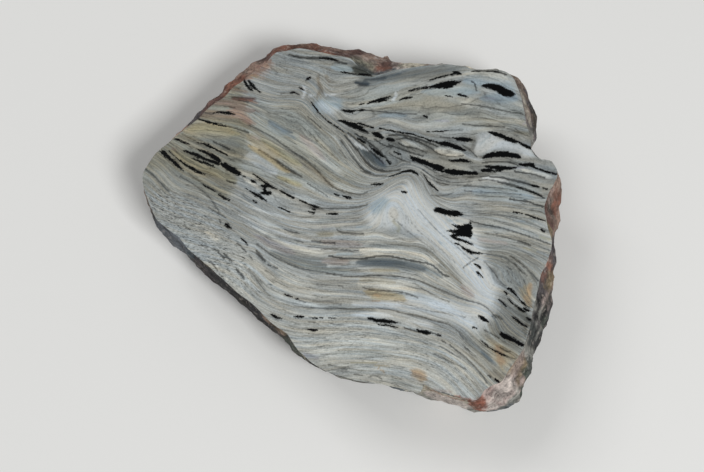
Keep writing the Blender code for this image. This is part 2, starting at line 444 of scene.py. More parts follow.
# %% Where the lenses lie
LENSES = (      # x, y and width of each point in turn, in mm
    # the left block, from its upper end to its lower one
    (-59.3, 91.3, 1.2, -58, 88.5, 1.8, -56, 86, 1.6, -54.5, 85, 0.7),
    (-57, 91, 1, -55.6, 89, 2, -53.5, 86.6, 1.8, -51.5, 84.9, 1, -50, 83.8, 0.5),
    (-75.5, 71.5, 0.8, -72.5, 71.8, 1.3, -70, 71.6, 1.8, -67, 71.4, 1.8, -64, 70.6, 1),
    (-84, 67.8, 0.9, -80, 66.6, 1.5, -76, 65.3, 1.6, -72, 64.2, 1.4, -68.7, 63.6, 0.9),
    (-96.5, 55.9, 1, -94, 55.1, 1.4, -91, 54, 1.2, -88, 52.7, 0.8),
    (-84, 54, 0.6, -80, 52.9, 1.4, -76, 51.2, 1.6, -72, 49, 1.4, -69, 47.2, 1, -67, 46.2, 0.5),
    (-84, 50, 0.5, -80, 48.4, 1.6, -76, 46.3, 2.4, -73, 44.2, 2.8, -71.3, 42.8, 2.2),
    (-91, 49.2, 0.9, -87, 47.6, 2, -83, 46, 2, -79, 44.2, 1.8, -75.5, 42.6, 2, -72, 41.5, 2.2),
    (-86, 44.6, 0.6, -82, 42.8, 1.2, -78, 41.4, 1.2, -74, 39.6, 0.8),
    (-70, 41.4, 1.6, -68, 40.2, 3.4, -64.5, 37.9, 3.6, -61, 35.6, 2.8, -59.8, 34.8, 1.6),
    (-59.4, 34.6, 0.8, -57.2, 33.8, 0.7),
    (-102.7, 49, 1.2, -101.5, 47.5, 2.6, -99, 45.2, 2.2, -96.8, 43.4, 1.8, -94.5, 41, 2.2, -92, 38.8, 1.4,
     -90.2, 37.2, 0.7),
    (-99, 49, 0.5, -94.5, 44.8, 0.7, -91, 42, 1.2, -87.5, 39.5, 1.6, -83, 36.9, 1.6, -78.8, 35.2, 0.8),
    (-79.5, 29, 0.6, -76, 27, 0.9, -73, 25.2, 0.8), (-71, 23.6, 1, -68.5, 22, 1.5, -65.3, 20.4, 1.2),
    # beside the block, on the middle left
    (-53, 35.3, 0.9, -50, 33.2, 1.1, -46.5, 30.5, 1.4, -44, 28.7, 1.6, -41.5, 27.3, 1.3, -40, 26.6, 0.7),
    (-38.5, 25.8, 0.7, -36, 24.4, 1.3, -33.5, 22.8, 1.6, -31.2, 21.6, 1.3),
    (-48.3, 28.4, 1.8, -45.8, 28.2, 2.2), (-46.6, 27.6, 1.6, -46.3, 25, 2),
    (-49, 24.5, 0.7, -47.2, 24.4, 2, -44, 24.2, 2.2),
    (-57, 27, 0.6, -54, 25.2, 1, -51, 23.2, 1.8, -48.5, 21.8, 1.6, -45.5, 20, 0.8),
    (-54, 31.8, 0.9, -52.8, 31, 1.6, -51.3, 30, 1), (-52.8, 20.2, 0.8, -51, 18.9, 1.2),
    (-28, 20.2, 0.8, -25, 19, 1.1, -22, 17.6, 1.2, -19, 16.5, 1.5, -17.6, 16.2, 1),
    (-39, 16.4, 0.6, -36, 15, 1.1, -33.2, 13.7, 1), (-21, 15.2, 0.7, -19.5, 14.6, 0.9),
    (-23, 14, 0.7, -20.3, 13, 1.1), (-13.5, 12.3, 0.6, -10.5, 12.5, 1.1, -7.8, 12.4, 0.8),
    (-9.3, 23.9, 0.7, -7.8, 23.2, 1.5, -6.8, 23, 0.8), (-4.8, 22.8, 0.8, -3, 22, 2, -0.8, 21.6, 1.4),
    (-66.8, 6.8, 1, -65.8, 5.9, 2.2, -64.2, 4.6, 1.4, -63.7, 4.2, 0.6),
    (-58.5, -1, 0.6, -57, -2.5, 1.1, -54.5, -5, 0.6),
    # the top
    (-18, 105, 0.8, -12.5, 104.5, 1.4, -8, 103.3, 0.8), (-6, 96.3, 0.8, -3, 95.9, 1.4, 0.5, 95.2, 0.8),
    (2, 95, 0.8, 6, 94.8, 1.4, 11, 94.3, 0.9), (-25.5, 91.2, 0.7, -24, 92.4, 1.5, -23, 93.4, 0.8),
    (-29, 86.8, 0.8, -27.7, 86.1, 1.3, -26.5, 85.5, 0.8),
    (-34, 83.4, 0.8, -31.8, 83.8, 1.4, -29, 82.6, 0.8),
    (-22.5, 78, 0.6, -20, 74.5, 1.3, -17.5, 70.8, 0.7, -13, 66.5, 0.8, -9.5, 64, 1, -8, 63, 1.2,
     -4.5, 60, 0.6),
    (-8, 67, 0.8, -6, 66.6, 1.6, -4, 66, 2.4, 0, 64.3, 3.4, 3, 63, 3.4, 6, 61, 2.4, 9, 59.3, 1),
    (3.5, 65.5, 0.8, 6, 64.5, 1.3, 11, 62.8, 1.3, 12, 62.4, 0.6),
    (-6, 73.2, 0.8, -3, 72.5, 1.9, 0, 72.3, 1.9, 1.5, 72.8, 0.9), (2.5, 72.8, 0.9, 5, 73, 1.3, 7, 73.2, 1),
    (4, 76.5, 0.8, 5.3, 76.9, 1.1, 6.5, 77.3, 0.8),
    (8.5, 77, 0.8, 12, 78.3, 1.6, 16, 79.5, 2.4, 21, 81.6, 0.9),
    (12, 77.8, 0.6, 16, 78.3, 1, 21, 79.2, 0.6), (26, 79, 0.8, 29, 80.5, 1.5, 33, 81, 0.9),
    (31, 84.6, 1, 35, 85.8, 1.4, 40, 86.7, 1.4, 44, 87.3, 1.6, 47, 87.8, 3.2, 51, 88.3, 4.4, 55, 89.2, 4,
     58, 90, 1.8, 60, 90.5, 0.8),
    (43, 91.3, 0.7, 48, 93, 1.2, 53, 94.5, 0.9, 55, 94.8, 1.4, 57, 96, 2.2, 60, 95, 1),
    (66, 96.8, 0.5, 68.5, 97, 0.9, 71, 97, 0.5), (74.5, 97, 0.5, 78, 96.8, 0.9, 81, 96.2, 0.5),
    (51, 82, 0.5, 53, 81.6, 0.8, 55, 81.2, 0.5), (58.5, 82.8, 1.2, 61, 82, 1.4, 64, 80.8, 0.6),
    (71.8, 88, 1.4, 75, 87.8, 3.2, 79, 86.8, 4.6, 82, 85.2, 5, 85, 83.6, 4.8, 87.3, 82.9, 3.4,
     89.5, 82.5, 1.2),
    (39, 69.8, 1, 41, 69, 1.4), (41, 60.2, 0.7, 48, 60.4, 1, 52, 61, 0.7),
    # round the white lens on the right
    (74.5, 60, 0.8, 76.5, 59.2, 2.2, 80, 58, 2.6, 84, 56.2, 2.6, 87, 54.8, 2.6, 89, 54.2, 1.2),
    (90.5, 53.8, 0.9, 93, 52.2, 2.3, 96.5, 50.7, 1.8, 97.5, 50.5, 0.6),
    (70.5, 44.8, 1.4, 72.5, 45.9, 2.6, 75.5, 46.4, 3.2, 80, 47, 3.8, 85, 46.6, 3.5, 88.5, 45.8, 2.7,
     90.5, 44.8, 1),
    (90, 41, 1, 92, 40.6, 1.6, 94.3, 40.6, 2.6),
    (95.5, 40.6, 1.8, 96.8, 40.4, 2.8, 98.5, 39, 1.6, 101, 38.1, 1.2, 104, 36.9, 1.3, 107, 36, 1.3,
     109.6, 35.2, 0.8),
    (71.5, 40, 1, 76, 39.3, 2.1, 80, 38.9, 2.8, 84, 38.8, 1.8, 88, 39, 0.8),
    (70.3, 37.5, 2.2, 73, 37.3, 2.2, 77, 37, 1, 80, 36.9, 0.5),
    (88, 27.8, 0.5, 91, 26.8, 1, 94, 25.7, 1.2, 98, 24, 0.9, 101, 22.3, 0.5),
    (95, 29.3, 0.5, 97.5, 28.4, 1.1, 99.6, 27.8, 0.8), (102, 27.5, 1, 104, 26.5, 1.2),
    (85.5, 13.5, 0.7, 90, 12.8, 0.8), (92, 12, 1, 95, 11, 1.2, 98, 9.8, 1.1, 102, 8.7, 0.8),
    (99.8, 3.6, 1.5, 101.2, 2.6, 1.5),
    # the knot of folded layers in the middle
    (11, 59.2, 1.2, 12.5, 58.9, 2.8, 14.5, 58, 3, 16.4, 56.9, 2),
    (19, 56.2, 1.2, 20.5, 55.6, 2.6, 22.3, 55, 2),
    (15, 62.3, 0.6, 19, 61.3, 0.8, 24, 60.1, 1, 30, 59.3, 1.1, 34, 58.2, 0.9, 38, 56.8, 0.8, 43, 54.8, 1.2,
     46.5, 53.8, 1),
    (3, 56.2, 1, 7, 53.6, 1.3), (5.5, 57.7, 0.8, 8, 56, 1),
    (9.2, 52, 0.7, 11, 50.2, 1.3, 14, 47.8, 2.2, 16.5, 45.7, 1.4, 17.5, 45.2, 0.6),
    (18.5, 43.5, 0.7, 20.5, 40.8, 0.9), (22.5, 48.2, 0.9, 24.5, 47.6, 1.5, 26.2, 46.8, 0.8),
    (31.3, 46, 1, 33, 44.5, 2.6, 36.5, 43, 3, 40, 41.7, 2.8, 44, 39.9, 3.2, 47, 38.6, 3.8, 49, 38.8, 1.4),
    (48, 36.5, 1, 50.5, 37, 2.4, 54, 36.5, 3.8, 58, 36, 3.2, 62, 36, 2.6, 66, 35.7, 2, 67.5, 35.6, 0.8),
    (46, 53.5, 1, 48.5, 53.3, 2.6, 52, 52.6, 3, 56, 51.2, 2.7, 59.5, 49.8, 1.8, 61.2, 49.3, 0.6),
    (54.5, 56.6, 0.9, 57, 56, 1.8, 60, 55.6, 2.6, 63, 55.4, 2.7, 64.6, 55.3, 1.8),
    (52.3, 43.2, 1, 55, 43, 1.8, 58.5, 43.5, 1.8, 62, 42.8, 1.8, 65, 42.3, 1),
    (19.5, 33.8, 0.8, 23, 34.8, 1, 27, 36.4, 1.4, 29.5, 37, 1.8, 31.5, 37.3, 1.6, 33.5, 36.3, 1.5,
     35.5, 35, 0.9),
    (38.5, 34.8, 0.7, 40, 32, 1, 41.8, 29.5, 1.5, 44, 27.3, 1.2, 46, 25.5, 0.7),
    (10.5, 29.4, 0.8, 13, 29.4, 1.6, 16.5, 29.6, 0.9), (26.5, 25.3, 0.9, 27.7, 24.9, 1.6, 29, 24.7, 0.9),
    # in and beside the milky wedge
    (44.4, 14.6, 2.4, 46, 14.7, 3.4, 49, 13.6, 3.2, 52, 12.9, 3.2, 54.5, 12.9, 3.6, 57, 12.3, 2.4,
     58.8, 11.8, 1),
    (53, 6.5, 0.8, 56, 5.2, 2.2, 59.5, 4.6, 4, 61.4, 5, 4.4),
    (50.5, 3, 0.8, 54, 2.6, 2.2, 58, 2.4, 4.4, 61, 2, 5.2),
    (51.5, 0.3, 0.8, 55, 0.5, 1.6, 59, 0.6, 2.4, 62.3, -0.4, 1.8), (62.4, 8.6, 0.6, 62.6, 7, 1.6),
    (52.5, -0.3, 1, 55, -1.5, 1.6, 58, -2.6, 1.6, 61, -3.8, 1.6, 63.5, -5, 0.8),
    (54.2, -4, 1, 55.5, -4.5, 1.4, 57, -5.2, 0.6),
    (57.5, -5.8, 0.8, 59.5, -7.5, 1.6, 62, -8.8, 2.2, 64.5, -9.4, 1.6, 67, -9.6, 0.8, 68.3, -9.8, 0.9),
    (64, -15.5, 0.6, 65.3, -16.3, 1.5, 67, -17.8, 1.3),
    (65, -19.8, 0.6, 65.8, -20.6, 1.2, 67, -22, 1, 68, -23, 0.7),
    # the lower right
    (80.5, -28.9, 0.9, 82, -29.2, 1.6, 84, -31.4, 1.4, 86.2, -34.2, 0.8), (79, -30.5, 0.7, 80.3, -32, 1),
    (76, -35, 0.7, 77.5, -36.5, 1.3, 79.5, -38.6, 0.9), (80.5, -34.6, 0.6, 82, -36, 1, 83.2, -37.3, 0.7),
    (86.8, -35.2, 0.7, 88.5, -36.9, 1.3, 90, -38.3, 0.8, 91.7, -39.3, 0.6),
    (84.7, -38.2, 1, 86.5, -39.9, 1.7, 88.8, -41.4, 1.2), (88.6, -39.4, 1, 89.7, -40.3, 1.9, 91, -41, 1.1),
    (90, -44.6, 1, 91.3, -45.8, 1.8, 92.6, -46.4, 1),
    (82.4, -44, 0.8, 84.5, -45.7, 1.5, 87, -48, 1.5, 89.6, -49.5, 0.8),
    (65.3, -43.9, 1, 66.8, -44.8, 2.4, 68.5, -46, 2.1, 70, -46.7, 0.8), (62, -49.7, 0.9, 63.7, -50.3, 0.8),
    (76.5, -53, 2, 78.5, -54.7, 2.8, 81, -55.8, 2.5, 84, -57.5, 2.3, 86.5, -59, 2.3, 88, -59.3, 1),
    (65.5, -56.5, 0.6, 68, -58.8, 0.9, 71, -61, 0.9, 74, -62.9, 1, 76, -64, 1.2, 78, -64.8, 0.8),
    (72.5, -76.8, 1.2, 74, -78.4, 1.6),
    # the bottom
    (-41.5, -43, 0.9, -39.8, -44, 1.6, -37.5, -45, 1.1, -36.3, -45.3, 0.6),
    (-30, -44, 0.6, -28.5, -44.1, 1.1, -26.5, -44.3, 1.5, -25.3, -44.2, 1),
    (-22, -44.7, 0.4, -19.5, -44.8, 1.1, -18, -44.8, 1), (-16.5, -44.9, 0.5, -15.2, -44.9, 0.7),
    (-12, -44.8, 0.4, -10.3, -44.9, 0.8, -8.5, -45, 0.5),
    (-23, -51, 0.4, -21, -51, 1.2, -19.5, -51.3, 1.5, -17.8, -51.4, 0.7),
    (-35, -32, 0.6, -33, -32.6, 0.9, -31, -33.6, 0.6), (-29, -34.5, 0.9, -28, -34.7, 1),
    (8.5, -45, 1.2, 10.5, -45.5, 1.8, 13, -46.3, 2, 16, -46.4, 2.3, 20, -46.9, 2.1, 22.5, -47.2, 1,
     25, -47.3, 0.5),
    (13.5, -48.3, 0.5, 17, -48.8, 0.8, 21, -49.5, 0.9, 23.5, -49.9, 0.5),
    (33.5, -51, 1.2, 35, -52, 2.1, 38, -52.5, 2.4, 40, -52.8, 1.4, 41.5, -53, 0.6),
    (42.3, -53.3, 0.5, 43.5, -53.8, 1, 45.5, -54.2, 0.6),
)
lens_paths = [smooth_path(in_points(numbers, size=3)) for numbers in LENSES]
print(len(lens_paths), "lenses of black chert")

# %% [markdown]
# ## Dark lines
#
# Between the lenses run thin dark films, the dead mats of the microbes. Most are grey and
# broken into rows of dots. The finest ones come from noise in the material. The ones that
# can be told apart are drawn here, each with its darkness from 0 to 1 and its width.

# %% Where the dark lines run
LINES = (       # darkness, width in mm, x and y of each point in turn
    (0.4, 0.7, (-66, 81.1, -61, 80.8, -57.5, 80.4, -52.5, 80.2)), (0.4, 0.6, (-62, 79.2, -57, 77.9)),
    (0.4, 0.7, (-80, 71.8, -75.5, 71.5)), (0.6, 1.3, (-69, 63.6, -64, 62.4, -59, 60.8, -56, 59.5)),
    (0.4, 0.7, (-70, 75.2, -64, 74.6)), (0.4, 0.6, (-42, 101, -36, 98)), (0.4, 0.6, (-45, 99, -41, 96)),
    (0.4, 1.2, (-39, 83, -31, 83.6)), (0.7, 0.7, (-75, 54.3, -66, 49.8)), (0.4, 1, (-92, 58.5, -85, 55)),
    (0.7, 1, (-67, 31.6, -62.5, 29.8)), (0.4, 1, (-88, 36, -80, 30, -70, 24)),
    (0.4, 1, (-92, 34, -84, 29, -76, 22, -70, 13)),
    (0.7, 1.8, (-35, 107.5, -31, 106, -25, 105.3, -20, 105, -15, 105.3, -10, 104, -7, 102.5, -3, 101.5)),
    (0.5, 0.8, (7, 73.2, 12, 72.6, 15, 72.2, 30, 70.8)), (0.5, 0.7, (-24, 69, -20, 65.5, -17, 62.5)),
    (0.6, 0.7, (66, 90.5, 67.5, 89, 68.3, 85)), (0.9, 1, (68, 96.8, 73, 97, 80, 96.5, 85, 94.8)),
    (0.5, 0.8, (60, 77, 70, 75.7, 80, 73.5, 88, 71.5)), (0.5, 0.7, (75, 75, 80, 73.6, 86, 72, 93, 71)),
    (0.5, 0.7, (25, 71.3, 35, 70.8)), (0.5, 1.3, (60, 64.8, 66, 64, 76, 63.3, 83, 63)),
    (0.4, 0.6, (52, 61, 60, 61.5)), (0.5, 1.2, (60, 52, 64, 49, 67, 45.5)),
    (0.4, 0.7, (84, 62, 88, 61, 92, 59, 97, 57)),
    (0.5, 1.3, (-56, 64, -49, 60.5, -42, 56.2, -36, 51.5, -30, 47, -25, 43.5, -20, 39, -15, 33, -10, 28,
     -5, 25.3, 0, 24)),
    (0.5, 0.8, (-50, 49.5, -42, 44, -37, 39.5, -32, 36.5, -27, 33.5)),
    (0.5, 0.8, (-41, 44, -33, 38, -27, 34)), (0.4, 0.8, (-24, 61, -18, 54, -12, 48, -7, 43)),
    (0.5, 0.8, (-24, 30, -18, 26, -13, 22.5)), (0.5, 0.8, (-10, 28, -3, 25, 4, 23.5, 8, 25)),
    (0.5, 0.8, (-22, 16, -10, 15.3, 0, 16, 8, 17.5)), (0.7, 0.6, (12, 56, 16, 53, 20, 51.2, 23, 51.3)),
    (0.6, 0.6, (20, 47.5, 23, 45.5, 27, 43.5, 31, 42)),
    (0.6, 0.7, (3, 50, 6, 44, 10, 39.5, 14, 37.3, 20, 36.8, 26, 37.8)),
    (0.5, 0.7, (5, 37, 12, 34.5, 20, 34)), (0.4, 1, (42, 23, 46, 22.8, 50, 23.2, 54, 24.5)),
    (0.5, 0.7, (44, 49, 48, 46.5, 53, 45.5, 60, 46)),
    (0.5, 0.8, (38, 38, 43, 34, 48, 31.5, 56, 30.5, 64, 31)),
    (0.4, 0.7, (37, 36.5, 42, 32.5, 48, 29.8, 56, 28.8, 64, 29.2)),
    (0.4, 0.7, (39, 40, 44, 36.3, 49, 33.8, 56, 32.6)), (0.5, 0.8, (48, 57, 53, 56.6)),
    (0.8, 0.9, (-2, 59.5, 3, 55, 8, 50.5, 13, 45.5, 17, 41.5)),
    (0.8, 0.8, (2, 58.8, 8, 54.5, 14, 49.5, 18, 45, 21, 41.5)),
    (0.7, 0.8, (-4, 58, 0, 53, 4, 47.5, 8, 42.5, 12, 39, 17, 37.5)),
    (0.6, 0.8, (-6, 55, -2, 49, 2, 43, 6, 38, 10, 36)),
    (0.8, 1.2, (20, 58.3, 27, 58.2, 34, 56.5, 40, 54.3, 46, 51.5)),
    (0.7, 1, (20, 52.5, 26, 50, 32, 47.8, 38, 45.8)),
    (0.6, 0.8, (24, 55.5, 29, 56.3, 35, 54.5, 41, 51.5, 46, 48.2)),
    (0.6, 0.8, (25, 53.5, 29, 51.3, 34, 50.5, 40, 48)), (0.7, 0.7, (70.3, 42, 80, 42.5, 85, 42, 89, 40.5)),
    (0.8, 0.8, (87, 37, 91, 36.2, 96, 35.5, 100, 34.2, 103, 33.2)),
    (0.9, 1.1, (74, 33.8, 80, 33.3, 85, 32, 89, 31, 92, 30.2, 96, 28.9, 99.5, 27.9)),
    (0.9, 1.4, (78, 30.6, 82, 29.9, 86, 28.7, 91, 26.8, 96, 25, 99, 23.7, 102, 21.5)),
    (0.5, 1, (68, 31.6, 72, 32.2, 78, 31.2)), (0.5, 0.8, (62, 33.4, 68, 33.8, 74, 34.2)),
    (0.4, 0.8, (60, 28.4, 70, 28, 80, 27.2, 88, 25.6)), (0.3, 0.8, (66, 23.2, 76, 22.3, 86, 22, 96, 20.5)),
    (0.3, 0.8, (64, 18, 76, 16.6, 88, 16, 100, 13.5)), (0.3, 0.8, (64, 13.5, 74, 12.2, 84, 10.8, 96, 7.5)),
    (0.8, 1, (84, 20.7, 93, 19.6, 97, 18, 101.5, 16.6)), (0.4, 0.7, (60, 25.8, 68, 25, 80, 24.5, 90, 23.5)),
    (0.6, 0.9, (62, 8.5, 70, 6.3, 77, 5, 83, 3.2, 88, 1.5, 95, -1, 100, -3, 104.5, -4.8)),
    (0.4, 0.7, (70, 1.5, 78, 0, 83, -1.5, 88, -2.8)), (0.8, 1, (87, -2.6, 91, -4, 93.5, -5.2)),
    (0.3, 0.7, (75, 2, 85, 0, 95, -4, 103, -8)),
    (0.4, 1.2, (68, -9.5, 75, -10.8, 80, -12, 83, -14, 86, -17, 88, -19.5, 91, -22)),
    (0.5, 1.4, (83, -11, 88, -15, 91, -18, 94, -21.5, 96.5, -24.5)),
    (0.4, 0.8, (69, -14, 73, -19, 77, -25, 80, -28)),
    (0.5, 1.2, (-76, 16, -72, 13.5, -69.5, 12, -67, 10.5)),
    (0.55, 1.2, (-111.5, 38.5, -108, 36, -104.5, 32.8)),
    (0.45, 1.2, (-104, 32, -101, 29, -98.5, 26.2, -97.5, 25)),
    (0.7, 1.2, (-70, -9.5, -68, -11, -67, -12.2)), (0.7, 1.2, (-67, -9.8, -65, -12, -63, -13.8)),
    (0.6, 1, (-72, -7.5, -70, -8.5)), (0.7, 1.6, (-50.2, -8, -49, -9.8, -47, -12.5, -45.3, -14)),
    (0.7, 1.3, (-60.2, -18.3, -58.5, -20.3, -57, -22.5, -56, -24)), (0.7, 2, (-43.8, -16, -42.2, -16.6)),
    (0.6, 1.8, (-40.8, -17.2, -39, -18)), (0.5, 1.5, (-70.3, 9, -69.5, 7.5)),
    (0.4, 1, (-97, 12, -93, 10.8, -90, 10.2)), (0.5, 1, (-79, -4.8, -76, -5.8)),
    (0.5, 0.8, (-60, -4, -57.5, -6.5, -55.5, -9)), (0.5, 0.8, (-54, -10.5, -52, -13)),
    (0.5, 1, (-75, -13.8, -72.5, -15.8, -70, -19)), (0.4, 0.8, (-69, -21, -67.8, -22.5)),
    (0.3, 1.2, (-54, -18, -50, -23, -47, -28, -45, -30)),
    (0.5, 0.8, (-50, -4.5, -45, -8.5, -40, -12, -34, -15, -28, -17.5, -22, -19, -15, -20, -8, -21.5,
     0, -22.5, 10, -21.8, 20, -22, 28, -23, 34, -24.5, 40, -27, 46, -30, 52, -32.5, 58, -35, 65, -36.8,
     69, -39, 72, -42, 74, -44.5)),
    (0.7, 0.8, (-21, -2.8, -17, -3.4, -13, -3.7, -9, -4)),
    (0.5, 1.4, (-16, -7.2, -10, -7.3, -5, -7.6, 0, -8.3, 3, -8)),
    (0.8, 0.7, (-12, -11, -6, -12.3, 0, -12.4, 5, -12.8, 9, -12, 13, -11.3, 18, -11, 24, -12.2, 30, -13.5,
     36, -14.5, 41, -15.8, 44, -18, 47, -21, 50, -22.5)),
    (0.5, 1.4, (-8, 3.5, -6, 2.3, -2, 1.6, 1, 1.3, 6, 1.2)), (0.5, 1.4, (-35, 3.5, -31, 2, -28, 1.5)),
    (0.4, 1.2, (-30, -2.5, -26, -3.5)),
    (0.35, 1.4, (-45, -19, -42, -21, -39, -24, -36, -25.5, -33, -27, -28, -28.5, -22, -29.5)),
    (0.2, 1.3, (-50, -24.5, -47, -28, -44, -31.5, -40, -34, -34, -36.5, -28, -38.5, -22, -39.5)),
    (0.4, 1, (-28, -38.5, -14, -39.8, -8, -39.6, 0, -40, 8, -39.8, 14, -39.7, 20, -40.3, 25, -41.8, 30, -43,
     36, -44.3, 42, -46.5, 48, -47.8, 52, -50, 55, -53, 57, -56)),
    (0.4, 0.8, (-43.5, -26.5, -41.5, -27)), (0.4, 0.8, (-20, -32.5, -17, -33.5)),
    (0.4, 1, (-7, -27.5, -5, -28)), (0.3, 1.5, (-20, -36, -10, -36.5, -6, -37.5)),
    (0.4, 0.8, (-28, -35, -24, -36.5)),
    (0.5, 1, (6, -28.5, 12, -30, 20, -30.3, 26, -31, 31, -32.5, 34, -34)),
    (0.4, 0.8, (32, -26, 38, -30, 44, -33.5, 50, -36)), (0.4, 1, (43, -28.5, 48, -30.5, 53, -33, 60, -36)),
    (0.3, 1, (22, -35.5, 30, -38, 40, -41, 50, -42.5, 58, -44.5)),
    (0.5, 0.7, (58, -17.5, 62, -14.5, 66, -12)), (0.3, 0.6, (24, 8, 30, 2, 38, -4, 44, -9)),
    (0.3, 0.6, (35, 15, 45, 3, 55, -6, 62, -13)), (0.2, 0.6, (20, 12, 27, 5, 34, -1, 42, -6.5)),
    (0.2, 0.6, (28, 12, 36, 2, 46, -7, 54, -15)), (0.4, 0.6, (-22.5, -47, -19, -47.3)),
    (0.4, 0.6, (-11, -47.5, -9, -48.2, -4.5, -48.3)), (0.3, 1, (-29, -48, -27.5, -48.2)),
    (0.2, 1, (-25, -50.5, 5, -50.5)),
    (0.2, 1.5, (-20, -53.5, 5, -53.5, 15, -53, 25, -54.5, 35, -57, 40, -60)),
    (0.3, 0.7, (-18, -60, -14, -60)), (0.3, 1, (-16, -64, -8, -64)),
    (0.4, 1.2, (-12, -69.5, -6, -71, -1, -71.5)), (0.3, 1, (-10, -72.5, -2, -72.7)),
    (0.4, 1, (1, -74.5, 5, -75)), (0.4, 0.8, (8, -76, 12, -75.3, 15, -77)),
    (0.6, 0.8, (27, -50.2, 30, -51, 33, -52)), (0.3, 0.8, (3, -45, 5, -45.2)),
    (0.6, 1, (46, -57, 47.8, -57.8)), (0.4, 0.8, (45, -60, 50, -63, 55, -66)),
    (0.4, 0.8, (42, -64, 50, -68, 58, -72)),
    (0.9, 1.2, (36, -80, 37, -81.5, 40, -83, 45, -84.5, 50, -86, 55, -87.5, 60, -89)),
    (0.5, 0.8, (57.5, -60.5, 60, -62.5)),
    (0.5, 0.8, (50, -59, 53, -62, 57, -65, 61, -69, 64, -72.5, 67, -77, 68, -79)),
    (0.6, 0.9, (75.5, -60.5, 78, -62, 80.5, -62.8)), (0.5, 0.8, (78, -64.8, 80, -65.5, 83, -66.5)),
    (0.5, 0.7, (68, -51.5, 71, -53, 75, -55.5)), (0.5, 1.4, (72, -44, 75, -44, 77, -45.5)),
    (0.7, 0.9, (69, -75, 70, -76)),
)
line_paths = [swollen(width, numbers) for darkness, width, numbers in LINES]
print(len(line_paths), "dark lines")

# %% [markdown]
# ## Colours of the stone
#
# Chert is quartz so fine that it looks like wax, and a trace of clay, iron or carbon is
# enough to tint it: milky white where it is pure, slate blue where carbon is spread
# through it, ochre and olive where iron has soaked in along the layers. Two colours are
# light and shade instead: shade is painted shadow, and the near-black for the rim's cracks
# is painted shade. The colours are given as they look on a screen, from 0 to 255.

# %% The palette
COLOURS = {name: linear(*screen) for name, screen in {
    "base": (154, 157, 155), "white": (191, 197, 200), "milky": (186, 190, 190), "pale": (179, 181, 176),
    "cream": (191, 189, 179), "light blue": (146, 161, 169), "blue": (126, 139, 146),
    # shade is painted shadow for the rim's lower-left wall, not a colour of the stone
    "teal": (138, 144, 142), "slate": (82, 91, 96), "deep slate": (62, 71, 78), "shade": (102, 106, 112),
    "grey": (117, 120, 117), "dark": (88, 88, 82), "ochre": (158, 145, 116), "orange": (158, 137, 110),
    "olive": (124, 119, 98), "straw": (150, 146, 120), "pink": (154, 142, 136), "lilac": (136, 135, 142),
    "stain": (126, 104, 92), "rust": (132, 82, 66), "brown": (110, 101, 86), "block": (128, 126, 112),
    "brick": (124, 86, 72), "maroon": (98, 74, 68), "clay": (140, 118, 106), "bark": (124, 110, 86),
    "crust": (118, 104, 94), "mauve": (82, 77, 79), "umber": (60, 57, 51), "soot": (46, 46, 47),
    # the near-black given for cracks in the rim is painted shade
    "cleft shade": (22, 22, 24), "dusk": (68, 72, 70), "moss": (74, 80, 72), "ash": (136, 136, 130),
    "flesh": (166, 150, 144), "chalk": (190, 180, 173), "sand": (176, 170, 154),
}.items()}
print(len(COLOURS), "colours")
